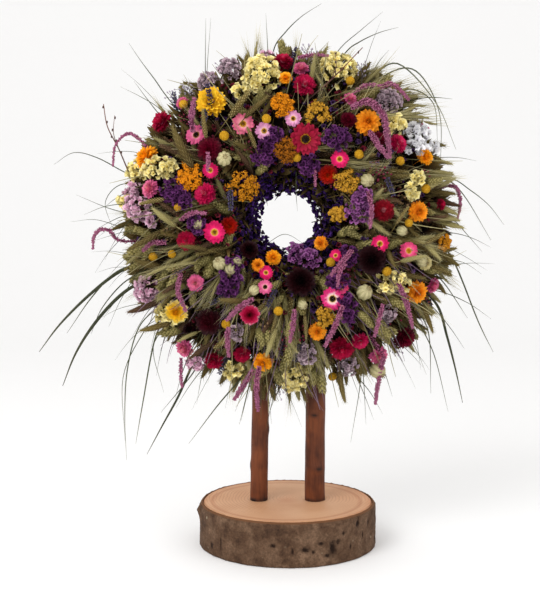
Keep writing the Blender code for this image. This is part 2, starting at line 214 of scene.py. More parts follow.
# ---------------------------------------------------------------------------------------
# Bark: thin, dry and brown, still tight on the slice. Its scars, knobs and torn lip are cut
# into the shape, and the fine cracks, weathering and spots of lichen are in the material.

def turned(profile, sides):
    """A profile of radius and height spun about Z, closed where it meets the axis."""
    bm = bmesh.new()
    corners = [bm.verts.new((radius, 0, height)) for radius, height in profile]
    edges = [bm.edges.new(pair) for pair in zip(corners, corners[1:])]
    if profile[0][0] > 0:
        edges.append(bm.edges.new((corners[-1], corners[0])))
    bmesh.ops.spin(bm, geom=corners + edges, cent=(0, 0, 0), axis=(0, 0, 1), dvec=(0, 0, 0),
                   angle=2 * math.pi, steps=sides, use_merge=True)
    bmesh.ops.remove_doubles(bm, verts=bm.verts, dist=1e-6)
    bmesh.ops.recalc_face_normals(bm, faces=bm.faces)
    return bm


bark = new_material("thin_brown_bark", Roughness=0.92, Specular_IOR_Level=0.15)
bark_low, bark_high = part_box("bark_ring")
place = add_node(bark, "TexCoord", {}, {})
cracks = add_node(bark, "TexNoise", {"Scale": 1 / 0.0030, "Detail": 5, "Roughness": 0.7},
                  {"Vector": (place, "Object")})
patches = add_node(bark, "TexNoise", {"Scale": 1 / 0.022, "Detail": 5, "Roughness": 0.66, "Distortion": 0.15},
                   {"Vector": (place, "Object")})
patch_tone = add_node(bark, "ValToRGB",
                      {"stops": [(0.30, "#3F2D22"), (0.44, "#563F2F"), (0.58, "#68503E"), (0.72, "#80644F")]},
                      {"Fac": (patches, "Fac")})
fine = add_node(bark, "MapRange", {"From Min": 0.3, "From Max": 0.7, "To Min": 0.62, "To Max": 1.30},
                {"Value": (cracks, "Fac")})
weathered = add_node(bark, "HueSaturation", {}, {"Color": (patch_tone, "Color"), "Value": (fine, "Result")})
lichen_cells = add_node(bark, "TexVoronoi", {"Scale": 1 / 0.017}, {"Vector": (place, "Object")})
lichen = add_node(bark, "MapRange", {"From Min": 0.16, "From Max": 0.10},
                  {"Value": (lichen_cells, "Distance")})
lichen_tone = add_node(bark, "ValToRGB",
                       {"stops": [(0.0, "#000000"), (0.62, "#000000"), (0.66, "#E8E8E8"), (1.0, "#E8E8E8")]},
                       {"Fac": (lichen_cells, "Color")})
lichen_here = add_node(bark, "Math", {"operation": "MULTIPLY"},
                       {0: (lichen, "Result"), 1: (lichen_tone, "Color")})
spotted = add_node(bark, "MixRGB", {"Color2": linear("#A2957C")},
                   {"Color1": (weathered, "Color"), "Fac": (lichen_here, "Value")})
torn = add_node(bark, "Attribute", {"attribute_name": "torn"}, {})
torn_edge = add_node(bark, "Math", {"operation": "MULTIPLY"}, {0: (torn, "Fac"), 1: (fine, "Result")})
torn_here = add_node(bark, "MapRange", {"From Min": 0.20, "From Max": 0.75}, {"Value": (torn_edge, "Value")})
scarred = add_node(bark, "MixRGB", {"Color2": linear("#22150E")},
                   {"Color1": (spotted, "Color"), "Fac": (torn_here, "Result")})
height = add_node(bark, "SeparateXYZ", {}, {"Vector": (place, "Object")})
at_cut = add_node(bark, "MapRange", {"From Min": bark_high.z - 0.0026, "From Max": bark_high.z - 0.0010},
                  {"Value": (height, "Z")})
bark_colour = add_node(bark, "MixRGB", {"Color2": linear("#6E4A31")},
                       {"Color1": (scarred, "Color"), "Fac": (at_cut, "Result")})
bark_bump = add_node(bark, "Bump", {"Strength": 0.7, "Distance": 0.0012}, {"Height": (cracks, "Fac")})
colour_and_relief(bark, bark_colour, bark_bump)
bark_inner = slice_high.x + 0.0004
bark_outer = bark_high.x - 0.0006
bark_thickness = bark_outer - bark_inner
bark_profile = [(bark_inner, bark_low.z), (bark_inner, slice_high.z),
                (bark_inner + 0.30 * bark_thickness, slice_high.z - 0.0004),
                (bark_inner + 0.65 * bark_thickness, slice_high.z - 0.0020)]
bark_top, bark_levels = slice_high.z - 0.0046, 28
bark_profile += [(bark_outer, bark_low.z + (bark_top - bark_low.z) * step / bark_levels)
                 for step in range(bark_levels, -1, -1)]
# where the bark is torn (below 0) or knobbly (above 0): degrees round the slice, then the height, half
# width, half height and depth in millimetres
marks = [(-62, 22, 6, 11, -3.0), (-80, 24, 7, 4, -2.0), (-70, 31, 4, 3, -1.6), (-137, 22, 1.6, 14, -1.6),
         (-41, 48, 4, 6, -2.2), (-29, 44, 2.5, 8, -1.8), (-76, 53, 4, 3, 2.2), (-100, 30, 4, 3, -1.2),
         (-147, 14, 3, 5, -1.4), (-54, 40, 3, 3, -1.4), (-171, 51, 6, 5, 6.5), (-178, 44, 4, 6, 4.0),
         (-58, 30, 3, 4, -2.0), (-66, 14, 5, 3, -1.8), (-48, 20, 2, 4, -1.4), (-88, 22, 2, 5, -1.4),
         (-75, 20, 2, 3, -1.6), (-36, 30, 2, 5, -1.4), (20, 30, 5, 9, -2.4), (55, 44, 4, 5, -1.8),
         (88, 18, 7, 6, -2.2), (120, 36, 4, 9, -1.6), (150, 24, 6, 4, 1.8), (-12, 12, 5, 4, -1.6)]
bm = turned(bark_profile, 320)
tearing = bm.verts.layers.float.new("torn")
for corner in bm.verts:
    if corner.co.xy.length < bark_inner + 0.0006:
        continue
    turn = math.atan2(corner.co.y, corner.co.x)
    share = min(1, (corner.co.xy.length - bark_inner) / bark_thickness)
    spot = Vector((math.cos(turn) * 7, math.sin(turn) * 7, corner.co.z * 40))
    furrow = noise.fractal(spot * 1.4, 1.0, 2.0, 4)
    swelling = 0.8 * max(-0.8, furrow)
    for degrees, height_mm, half_width, half_height, depth in marks:
        along = math.remainder(turn - math.radians(degrees), 2 * math.pi) * bark_outer * 1000 / half_width
        upward = (corner.co.z * 1000 - height_mm) / half_height
        rough = 1 + 1.1 * noise.noise(spot * 6 + Vector((degrees, 0, 0)))
        strength = math.exp(-(along * along + upward * upward) * rough)
        swelling += depth * 0.75 * strength
        corner[tearing] = max(corner[tearing], strength if depth < 0 else 0.45 * strength)
    corner.co.xy *= 1 + share * max(-0.8 * bark_thickness, swelling / 1000) / corner.co.xy.length
    if corner.co.z > slice_high.z - 0.001:
        corner.co.z += 0.0012 * noise.noise(spot * 3)
new_piece("log_bark", bm, bark, "stand", ("bark_ring",))


# ---------------------------------------------------------------------------------------
# Sticks: two straight hazel branches, peeled and oiled red-brown, cut square at both ends.
# The knots are where side twigs were trimmed off, and a rag of bast is left at each foot; the dark band there
# is partly the bast and partly painted contact shade.

peeled = new_material("peeled_branch", Roughness=0.6, Specular_IOR_Level=0.25)
place = add_node(peeled, "TexCoord", {}, {})
lengthwise = add_node(peeled, "Mapping", {"Scale": (1, 1, 0.10)}, {"Vector": (place, "Object")})
streaks = add_node(peeled, "TexNoise", {"Scale": 1 / 0.003, "Detail": 5, "Roughness": 0.65},
                   {"Vector": (lengthwise, "Vector")})
clouds = add_node(peeled, "TexNoise", {"Scale": 1 / 0.03, "Detail": 2}, {"Vector": (place, "Object")})
streak_tone = add_node(peeled, "ValToRGB",
                       {"stops": [(0.30, "#32160B"), (0.50, "#5A2B14"), (0.70, "#743D20")]},
                       {"Fac": (streaks, "Fac")})
cloud_tone = add_node(peeled, "ValToRGB", {"stops": [(0.35, "#3A1C10"), (0.65, "#7A4020")]},
                      {"Fac": (clouds, "Fac")})
clean = add_node(peeled, "MixRGB", {"Fac": 0.55},
                 {"Color1": (streak_tone, "Color"), "Color2": (cloud_tone, "Color")})
knot_and_foot_shade_mask = add_node(peeled, "Attribute", {"attribute_name": "knot"}, {})
stick_colour = add_node(peeled, "MixRGB", {"Color2": linear("#180A06")},
                        {"Color1": (clean, "Color"), "Fac": (knot_and_foot_shade_mask, "Fac")})
stick_bump = add_node(peeled, "Bump", {"Strength": 0.5, "Distance": 0.0007}, {"Height": (streaks, "Fac")})
colour_and_relief(peeled, stick_colour, stick_bump)
stick_shapes = {
    "left": (-0.0406, -0.0365, 0.0125, 0.0116, ((0.110, 3.3, 0.0016), (0.161, -0.2, 0.0016))),
    "right": (0.0385, 0.0395, 0.0145, 0.0132, ((0.107, -1.2, 0.0020), (0.183, -1.7, 0.0018))),
}
# whatever hangs lower than this keeps off the sticks
sticks_below = 0.318
for side, (foot, top, foot_radius, top_radius, knots) in stick_shapes.items():
    low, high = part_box("post_" + side)
    levels = 90
    sawn = {"cap_ends": True, "segments": 28, "radius": foot_radius,
            "matrix": Matrix.Translation((foot, 0, low.z))}
    bm = bmesh.new()
    bmesh.ops.create_circle(bm, **sawn)
    end = bm.faces[:][0]
    for level in range(levels):
        end = bmesh.ops.extrude_discrete_faces(bm, faces=[end])["faces"][0]
        bmesh.ops.translate(bm, vec=((top - foot) / levels, 0, (high.z - low.z) / levels), verts=end.verts)
    bmesh.ops.create_circle(bm, **sawn)
    bmesh.ops.remove_doubles(bm, verts=bm.verts, dist=1e-6)
    bmesh.ops.recalc_face_normals(bm, faces=bm.faces)
    knot = bm.verts.layers.float.new("knot")
    for corner in bm.verts:
        part = (corner.co.z - low.z) / (high.z - low.z)
        axis = Vector((foot + (top - foot) * part, 0, corner.co.z))
        out = corner.co - axis
        turn = math.atan2(out.y, out.x)
        radius = foot_radius + (top_radius - foot_radius) * part
        spot = Vector((math.cos(turn) * 1.5, math.sin(turn) * 1.5, corner.co.z * 28 + foot * 90))
        radius *= 1 + 0.05 * noise.noise(spot)
        for height, way, bump in knots:
            off = (math.sin((turn - way) / 2) * 2) ** 2 / 0.5 + ((corner.co.z - height) / 0.006) ** 2
            radius += bump * math.exp(-off) - 0.0006 * math.exp(-off * 6)
            corner[knot] = max(corner[knot], min(1, 1.4 * math.exp(-off * 6)))
        # The bottom 4 mm: a ragged rim of bast, dark partly as bast and partly as painted contact shade where
        # the stick stands.
        if corner.co.z - low.z < 0.004:
            ragged = abs(noise.noise(Vector((math.cos(turn) * 4, math.sin(turn) * 4, foot * 50))))
            radius += 0.0014 * ragged
            corner[knot] = min(1, 0.4 + ragged)
        corner.co = axis + out.normalized() * radius
    stick = new_piece("peeled_stick_" + side, bm, peeled, "stand", ("post_" + side,))
    stick.data.set_sharp_from_angle(angle=math.radians(50))


# ---------------------------------------------------------------------------------------
# Screws and pins: zinc-plated steel, turned, with the soft grey shine of plating. The
# screws hold the sticks from under the slice, and the pins carry the straw ring.

zinc = new_material("zinc_plated_steel", Metallic=1.0, Roughness=0.38)
place = add_node(zinc, "TexCoord", {}, {})
spangle = add_node(zinc, "TexNoise", {"Scale": 1 / 0.002, "Detail": 3}, {"Vector": (place, "Object")})
zinc_tone = add_node(zinc, "ValToRGB", {"stops": [(0.35, "#9A9A98"), (0.65, "#C4C4C0")]},
                     {"Fac": (spangle, "Fac")})
colour_and_relief(zinc, zinc_tone)
for name in ("base_screw_left", "base_screw_right", "wreath_pin_left", "wreath_pin_right"):
    finish_node(name, zinc)


# ---------------------------------------------------------------------------------------
# Straw ring: rye straw pressed into a round roll and wound tight with thin wire. Straws lie
# along the roll, so its skin is ridged lengthwise. It shows only from behind.

def on_clock(angle, distance, y):
    """The place at a clock angle, in degrees clockwise from the top, and a distance from the middle."""
    turn = math.radians(angle)
    return Vector((distance * math.sin(turn), y, centre_z + distance * math.cos(turn)))


def along_ring(angle):
    """The way round the ring at a clock angle, clockwise."""
    turn = math.radians(angle)
    return Vector((math.cos(turn), 0, -math.sin(turn)))


def away_from_middle(angle):
    """The way out from the wreath's middle at a clock angle."""
    turn = math.radians(angle)
    return Vector((math.sin(turn), 0, math.cos(turn)))


ring_low, ring_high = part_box("straw_ring")
centre_z = (ring_low.z + ring_high.z) / 2
tube_radius = (ring_high.y - ring_low.y) / 2
ring_radius = (ring_high.x - ring_low.x) / 2 - tube_radius

straw = new_material("pressed_straw", Roughness=0.7)
place = add_node(straw, "TexCoord", {}, {})
centred = add_node(straw, "Mapping", {"Location": (0, 0, -centre_z)}, {"Vector": (place, "Object")})
upright = add_node(straw, "SeparateXYZ", {}, {"Vector": (centred, "Vector")})
flat = add_node(straw, "Mapping", {"Scale": (1, 0, 1)}, {"Vector": (centred, "Vector")})
outwards = add_node(straw, "VectorMath", {"operation": "LENGTH"}, {"Vector": (flat, "Vector")})
round_it = add_node(straw, "Math", {"operation": "ARCTAN2"}, {0: (upright, "X"), 1: (upright, "Z")})
drawn = add_node(straw, "Math", {"operation": "MULTIPLY", 1: 0.008}, {0: (round_it, "Value")})
laid = add_node(straw, "CombineXYZ", {},
                {"X": (outwards, "Value"), "Y": (upright, "Y"), "Z": (drawn, "Value")})
stalks = add_node(straw, "TexNoise", {"Scale": 1 / 0.0024, "Detail": 4, "Roughness": 0.6},
                  {"Vector": (laid, "Vector")})
straw_tone = add_node(straw, "ValToRGB", {"stops": [(0.32, "#4E3C1C"), (0.48, "#94783C"), (0.66, "#C4A864")]},
                      {"Fac": (stalks, "Fac")})
straw_bump = add_node(straw, "Bump", {"Strength": 0.8, "Distance": 0.002}, {"Height": (stalks, "Fac")})
colour_and_relief(straw, straw_tone, straw_bump)
bm = bmesh.new()
upright_ring = Matrix.Translation(on_clock(0, ring_radius, 0)) @ Matrix.Rotation(math.radians(90), 4, "Y")
bmesh.ops.create_circle(bm, cap_ends=False, segments=48, radius=tube_radius, matrix=upright_ring)
bmesh.ops.spin(bm, geom=bm.verts[:] + bm.edges[:], cent=(0, 0, centre_z), axis=(0, 1, 0), dvec=(0, 0, 0),
               angle=2 * math.pi, steps=160, use_merge=True)
bmesh.ops.remove_doubles(bm, verts=bm.verts, dist=1e-6)
bmesh.ops.recalc_face_normals(bm, faces=bm.faces)
for corner in bm.verts:
    angle = math.degrees(math.atan2(corner.co.x, corner.co.z - centre_z))
    middle = on_clock(angle, ring_radius, 0)
    out = (corner.co - middle).normalized()
    straws = math.atan2(out.y, out.dot(away_from_middle(angle))) * 9
    ridge = noise.noise(Vector((straws, angle * 0.12, 3.1)))
    bound = math.cos(math.radians(angle * 40))
    corner.co = middle + out * (tube_radius - 0.0010 + 0.0009 * ridge - 0.0006 * bound)
new_piece("straw_roll", bm, straw, "wreath", ("straw_ring",))


# ---------------------------------------------------------------------------------------
# Twine: two-ply green florist's twine, wound on as each bunch is added, so it crosses the
# back of the straw ring in close slanting turns.

def frames_along(points, widths, thins):
    """A matrix for each point of a path: its own Z along the path, and its X and Y sized."""
    stations = []
    side = None
    for at, point in enumerate(points):
        ahead = (points[min(at + 1, len(points) - 1)] - points[max(at - 1, 0)]).normalized()
        if side is None:
            side = ahead.cross(Vector((0, 1, 0)))
            side = side if side.length > 0.1 else ahead.cross(Vector((1, 0, 0)))
        side = (side - ahead * side.dot(ahead)).normalized()
        turn = Matrix((side, ahead.cross(side), ahead)).transposed().to_4x4()
        size = Matrix.Diagonal((widths[at], thins[at], (widths[at] + thins[at]) / 2, 1))
        stations.append(Matrix.Translation(point) @ turn @ size)
    return stations


def chart(bm, along):
    """The colour chart of a shape: U is worked out for each vertex, and V waits for the shade."""
    strip = bm.loops.layers.uv.new("OFBake")
    for face in bm.faces:
        for loop in face.loops:
            loop[strip].uv = (along(loop.vert), 0.5)


def drawn_out(points, widths, thins=None, sides=6):
    """A stalk, blade or cord: one outline extruded from point to point. U runs along it."""
    stations = frames_along(points, widths, thins or widths)
    bm = bmesh.new()
    bmesh.ops.create_circle(bm, cap_ends=True, segments=sides, radius=1, matrix=stations[0])
    foot = bm.faces[:][0]
    length = {corner: 0.0 for corner in foot.verts}
    end = foot
    for at in range(1, len(stations)):
        end = bmesh.ops.extrude_discrete_faces(bm, faces=[end])["faces"][0]
        bmesh.ops.transform(bm, matrix=stations[at] @ stations[at - 1].inverted(), verts=end.verts)
        length.update({corner: at / (len(stations) - 1) for corner in end.verts})
    bm.faces.new(list(reversed(bm.verts[:sides])))
    bmesh.ops.recalc_face_normals(bm, faces=bm.faces)
    chart(bm, lambda corner: 0.01 + 0.98 * length[corner])
    return shape(bm)


def shape(bm):
    """The bmesh as a mesh that is copied into pieces and never shown by itself."""
    mesh = bpy.data.meshes.new("shape")
    bm.to_mesh(mesh)
    bm.free()
    return mesh


def smooth_path(points, steps):
    """A Catmull-Rom curve through given points."""
    points = [Vector(point) for point in points]
    ends = [points[0] * 2 - points[1], *points, points[-1] * 2 - points[-2]]
    path = []
    for before, start, stop, after in zip(ends, ends[1:], ends[2:], ends[3:]):
        for step in range(steps):
            t = step / steps
            path.append(0.5 * (2 * start + (stop - before) * t
                               + (2 * before - 5 * start + 4 * stop - after) * t * t
                               + (3 * start - before - 3 * stop + after) * t ** 3))
    return path + [points[-1]]


def gathered(parts):
    """Copies of shapes in one bmesh: each part is a shape, its place and its shade from 0 to 1."""
    bm = bmesh.new()
    for mesh, matrix, shade in parts:
        copy = mesh.copy()
        copy.transform(matrix)
        strip = copy.uv_layers["OFBake"].data
        corners = np.empty(len(strip) * 2, np.float32)
        strip.foreach_get("uv", corners)
        corners[1::2] = 0.02 + 0.96 * shade
        strip.foreach_set("uv", corners)
        bm.from_mesh(copy)
        bpy.data.meshes.remove(copy)
    return bm


def plant_finish(name, stops, shades=(0.75, 1.2), grain=0.002, relief=0.0004, mottle=0.18, **sockets):
    """A dried plant: colour runs along each part (U), each part has its own shade (V), and a
    grain of the given size in metres mottles and roughens it."""
    material = new_material(name, **sockets)
    chart = add_node(material, "UVMap", {"uv_map": "OFBake"}, {})
    split = add_node(material, "SeparateXYZ", {}, {"Vector": (chart, "UV")})
    tint = add_node(material, "ValToRGB", {"stops": stops}, {"Fac": (split, "X")})
    place = add_node(material, "TexCoord", {}, {})
    mottled = add_node(material, "TexNoise", {"Scale": 1 / grain, "Detail": 3, "Roughness": 0.6},
                       {"Vector": (place, "Object")})
    dark, light = shades
    shade = add_node(material, "MapRange", {"To Min": dark, "To Max": light}, {"Value": (split, "Y")})
    patch = add_node(material, "MapRange",
                     {"From Min": 0.3, "From Max": 0.7, "To Min": 1 - mottle, "To Max": 1 + mottle},
                     {"Value": (mottled, "Fac")})
    value = add_node(material, "Math", {"operation": "MULTIPLY"},
                     {0: (shade, "Result"), 1: (patch, "Result")})
    colour = add_node(material, "HueSaturation", {}, {"Color": (tint, "Color"), "Value": (value, "Value")})
    bump = add_node(material, "Bump", {"Strength": 0.6, "Distance": relief}, {"Height": (mottled, "Fac")})
    colour_and_relief(material, colour, bump)
    return material


twine = plant_finish("two_ply_green_twine", [(0, "#3F4A2A"), (0.5, "#55603A"), (1, "#3F4A2A")], grain=0.001,
                     Roughness=0.85)
twine_radius = 0.0008
turns = 60
points = []
for step in range(turns * 12 + 1):
    round_tube = 2 * math.pi * step / 12
    reach = tube_radius + twine_radius + 0.0002
    points.append(on_clock(6 + 360 * step / (turns * 12), ring_radius + reach * math.cos(round_tube),
                           reach * math.sin(round_tube)))
bm = gathered([(drawn_out(points, [twine_radius] * len(points)), Matrix(), 0.5)])
new_piece("binding_twine_wound", bm, twine, "wreath", ("binding_twine",))


# ---------------------------------------------------------------------------------------
# The flowers' places, as a clock angle, a distance from the middle and a width, both in
# millimetres. The large heads are set first, and everything bound in later keeps off them.
# Each faces away from the ring and leans to the front. The last figure tips it outwards.

shell_half_width = 0.099
shell_depth = 0.090


def set_forward(point):
    """A place as it looks from in front, moved to where it has to be at its own depth."""
    near = point.y / camera_y
    return Vector((point.x - (point.x - camera_x) * near, point.y, point.z - (point.z - camera_z) * near))


def head_place(angle, distance):
    """A flower head's middle and the way it faces, from its distance as it looks from in front."""
    distance = distance / 1000
    reach = max(-0.90, min(0.90, (distance * 0.96 - ring_radius) / shell_half_width))
    middle = set_forward(on_clock(angle, distance, -shell_depth * math.sqrt(1 - reach * reach)))
    off_ring = (middle - on_clock(angle, ring_radius, 0)).normalized()
    return middle, (off_ring * 0.55 + Vector((0, -0.50, 0))).normalized()


def head_matrix(angle, distance, tip=0, sideways=0):
    """Local Z along the way a head faces, local X along the ring."""
    middle, facing = head_place(angle, distance)
    tipped = facing + away_from_middle(angle) * math.tan(math.radians(tip))
    tipped = (tipped + along_ring(angle) * math.tan(math.radians(sideways))).normalized()
    side = (along_ring(angle) - tipped * along_ring(angle).dot(tipped)).normalized()
    return Matrix.Translation(middle) @ Matrix((side, tipped.cross(side), tipped)).transposed().to_4x4()


# colour, clock angle, distance, width, outward tip, and the CAD node that the head stands for
strawflowers = [
    ("yellow", 327, 195, 42, 0, "strawflower_yellow_upper_left"),
    ("crimson", 308, 222, 31, 20, "strawflower_crimson_upper_left"),
    ("orange_gold", 294, 215, 36, 35, "strawflower_orange_left"),
    ("crimson", 358, 219, 30, 30, "strawflower_crimson_top"),
    ("orange", 39, 176, 34, 0, "strawflower_orange_top_right"),
    ("crimson_white", 84, 134, 30, 0, "strawflower_white_heart"),
    ("orange", 86, 182, 28, 10, "strawflower_orange_right"),
    ("burgundy", 115, 130, 40, 0, "strawflower_burgundy_right"),
    ("orange", 119, 206, 31, 5, "strawflower_orange_lower_right"),
    ("garnet", 135, 232, 32, 5, "strawflower_crimson_ruffled"),
    ("crimson", 157, 194, 34, 8, "strawflower_crimson_bottom"),
    ("burgundy", 168, 87, 40, 0, "strawflower_burgundy_inner"),
    ("orange_gold", 190, 202, 28, 10, "strawflower_orange_bottom"),
    ("magenta_rimmed", 202, 142, 27, 0, "strawflower_magenta_bottom_left"),
    ("yellow_cream", 231, 201, 32, 0, "strawflower_yellow_lower_left"),
    ("crimson", 259, 145, 26, 0, "strawflower_crimson_left"),
    ("crimson_pink", 7, 189, 30, 5), ("scarlet", 41, 85, 26, 0), ("orange_gold", 65, 210, 24, 20),
    ("cream", 107, 201, 20, 5), ("pink", 114, 222, 22, 40), ("magenta", 149, 197, 24, 15),
    ("pink", 146, 229, 27, 10), ("orange", 165, 161, 24, 0), ("orange_gold", 202, 56, 22, 0),
    ("orange", 214, 75, 18, 0), ("burgundy", 233, 68, 26, 0), ("scarlet", 265, 83, 24, 0),
    ("pink", 236, 156, 23, 0), ("crimson", 208, 222, 27, 0), ("crimson", 199, 198, 24, 0),
    ("pink", 219, 230, 27, 15), ("orange", 124, 56, 20, 0), ("magenta", 55, 187, 26, 35),
    ("magenta", 288, 122, 30, 30), ("pink", 283, 197, 26, 35), ("pink", 318, 219, 18, 20),
    ("pink", 5, 210, 22, 25), ("pink", 27, 189, 18, 30), ("orange_gold", 359, 197, 18, 10),
    ("garnet", 48, 169, 22, 20), ("garnet", 31, 163, 22, 10), ("pink", 56, 228, 16, 30),
    ("crimson", 84, 214, 16, 20), ("garnet", 312, 148, 34, 0), ("wine", 218, 180, 36, 0),
    ("burgundy", 222, 205, 20, 20),
]
daisies = [
    ("pink_gold", 335, 148, 29, 0, "paper_daisy_pink_top_left"),
    ("red_dark", 12, 116, 42, 0, "paper_daisy_red_top"),
    ("rose_gold", 104, 174, 25, 0, "paper_daisy_pink_right"),
    ("white_magenta", 150, 126, 31, 0, "paper_daisy_white_lower_right"),
    ("pale_pink", 345, 129, 24, 0), ("rose_dark", 313, 174, 29, 15), ("magenta_gold", 303, 129, 22, 0),
    ("pale_pink", 3, 142, 22, -10), ("magenta_gold", 40, 112, 24, 0), ("magenta_gold", 104, 133, 24, -15),
    ("rose_gold", 141, 120, 20, -20), ("magenta_gold", 203, 79, 20, 0), ("rose_dark", 199, 98, 20, 0),
    ("magenta_gold", 261, 104, 30, 0), ("magenta_gold", 126, 83, 18, -20),
]
yarrows = [
    ("gold", 308, 78, 42, 0, "yarrow_gold_upper_left"),
    ("orange", 294, 150, 38, 0, "yarrow_orange_left"),
    ("mustard", 15, 154, 34, 0, "yarrow_mustard_top"),
    ("orange", 357, 161, 34, 0), ("mustard", 56, 99, 36, 0), ("mustard", 159, 145, 30, 0),
    ("mustard", 83, 70, 24, 0), ("gold", 98, 220, 25, 10), ("rust", 358, 99, 36, 0),
]
buttons = [
    (323, 147), (348, 144), (277, 154), (24, 210), (47, 135), (8, 89), (77, 196), (91, 168), (117, 155),
    (134, 84), (164, 226), (254, 168), (255, 194), (211, 168), (186, 127), (318, 215), (62, 176),
]
pods = [
    (314, 124, 20), (63, 124, 18), (133, 147, 21), (238, 113, 18), (230, 105, 17), (149, 246, 22),
    (95, 160, 14), (231, 92, 13), (170, 120, 13), (107, 196, 15), (268, 126, 14), (206, 108, 14),
]
statice_sprays = {
    "violet": [(31, 133, 32), (285, 167, 28), (280, 150, 22), (226, 112, 26), (221, 128, 26), (232, 98, 20),
               (145, 140, 24), (141, 112, 26), (147, 160, 22), (120, 98, 24), (20, 84, 26), (340, 100, 28),
               (350, 118, 22), (268, 128, 22)],
    "bright_violet": [(81, 101, 34), (73, 109, 24), (163, 47, 26), (150, 60, 24)],
    "lemon": [(350, 207, 50), (340, 193, 18), (18, 221, 48), (294, 184, 22), (291, 203, 28), (288, 222, 24),
              (277, 228, 20), (77, 177, 16), (72, 190, 18), (122, 165, 24), (119, 180, 22), (178, 222, 40),
              (200, 224, 24), (231, 214, 35), (48, 199, 22)],
    "lilac": [(275, 213, 34), (281, 222, 20), (244, 222, 34), (270, 190, 13), (213, 238, 22), (352, 226, 18)],
    "grey_lilac": [(40, 217, 34), (339, 224, 30), (330, 222, 24), (158, 222, 24), (133, 192, 20),
                   (205, 176, 20), (172, 190, 26)],
    "white": [(60, 207, 26), (56, 218, 30), (64, 222, 22)],
}
keep_clear = []
for table in (strawflowers, daisies, yarrows):
    for _, angle, distance, across, *_ in table:
        keep_clear.append((head_place(angle, distance)[0], across / 2000))
keep_clear += [(head_place(angle, distance)[0], 0.007) for angle, distance in buttons]
keep_clear += [(head_place(angle, distance)[0], across / 2000) for angle, distance, across in pods]
for sprays in statice_sprays.values():
    keep_clear += [(head_place(angle, distance)[0], across / 2600) for angle, distance, across in sprays]
clear_x, clear_y, clear_z = np.array([place[:] for place, _ in keep_clear]).T
clear_r = np.array([radius for _, radius in keep_clear])


def hides_a_head(points, margin=0.002, behind=0.010):
    """True if one of the points lies in front of a flower head."""
    for point in points:
        near = (clear_x - point.x) ** 2 + (clear_z - point.z) ** 2 < (clear_r + margin) ** 2
        if np.any(near & (clear_y + behind > point.y)):
            return True
    return False


# ---------------------------------------------------------------------------------------
# Bunches: twelve handfuls of dried leaves and short stems, each laid over the tips of the
# last and bound to the straw. They make the rough ground that the flowers stand in, dark
# with painted shade: a near-black core shell under the leaves, and the leaves' dark feet.

def leaf(width, cup, curl, widest=0.45, base=0.15, tip=0.05, fullness=2.0, rows=4):
    """A leaf or petal one unit long on +Y, cupped across and curled along. U runs to its tip."""
    bm = bmesh.new()
    bmesh.ops.create_grid(bm, x_segments=2, y_segments=rows, size=0.5)
    chart(bm, lambda corner: 0.01 + 0.98 * (corner.co.y + 0.5))
    for corner in bm.verts:
        across, along = corner.co.x * 2, corner.co.y + 0.5
        half = widest if along < widest else 1 - widest
        breadth = 1 - (abs(along - widest) / half) ** fullness
        end = base if along < widest else tip
        breadth = end + (1 - end) * breadth
        corner.co = (across * width / 2 * breadth, along * (1 - 0.2 * abs(curl)),
                     cup * width * across * across * breadth + curl * along * along)
    return shape(bm)


def lying(place, ahead, up, length, width=None):
    """A matrix that lays a shape's +Y along a direction with its +Z towards another."""
    ahead = ahead.normalized()
    up = (up - ahead * up.dot(ahead)).normalized()
    turn = Matrix((ahead.cross(up), ahead, up)).transposed().to_4x4()
    width = width or length
    return Matrix.Translation(place) @ turn @ Matrix.Diagonal((width, length, width, 1))


def on_bunch(angle, round_section, depth):
    """A place on the rounded front of the wreath, and the way off it. The section runs from
    0 degrees at the outer edge over 90 at the front to 180 at the hole; depth 1 is the heads' shell."""
    turn = math.radians(round_section)
    across = shell_half_width * depth * math.cos(turn)
    middle = on_clock(angle, ring_radius + across, -shell_depth * depth * math.sin(turn))
    off = away_from_middle(angle) * math.cos(turn) + Vector((0, -math.sin(turn), 0))
    return middle, off.normalized()


def near_a_stick(*points, room=0.008):
    """True if one of the points is in the way of a stick as the wreath is lifted off."""
    for _, top, radius, _, _ in stick_shapes.values():
        for point in points:
            if max(abs(point.x - top), abs(point.y)) < radius + room and point.z < sticks_below:
                return True
    return False


def distance_out(point):
    """How far a point lies from the wreath's middle, as it looks from in front."""
    return Vector((point.x, 0, point.z - centre_z)).length


def reach_at(angle):
    """How far out the dense part of the wreath goes, in metres: most at the bottom, where it hangs."""
    upward = math.cos(math.radians(angle))
    return 0.226 + 0.010 * max(0, upward) + 0.022 * max(0, -upward)
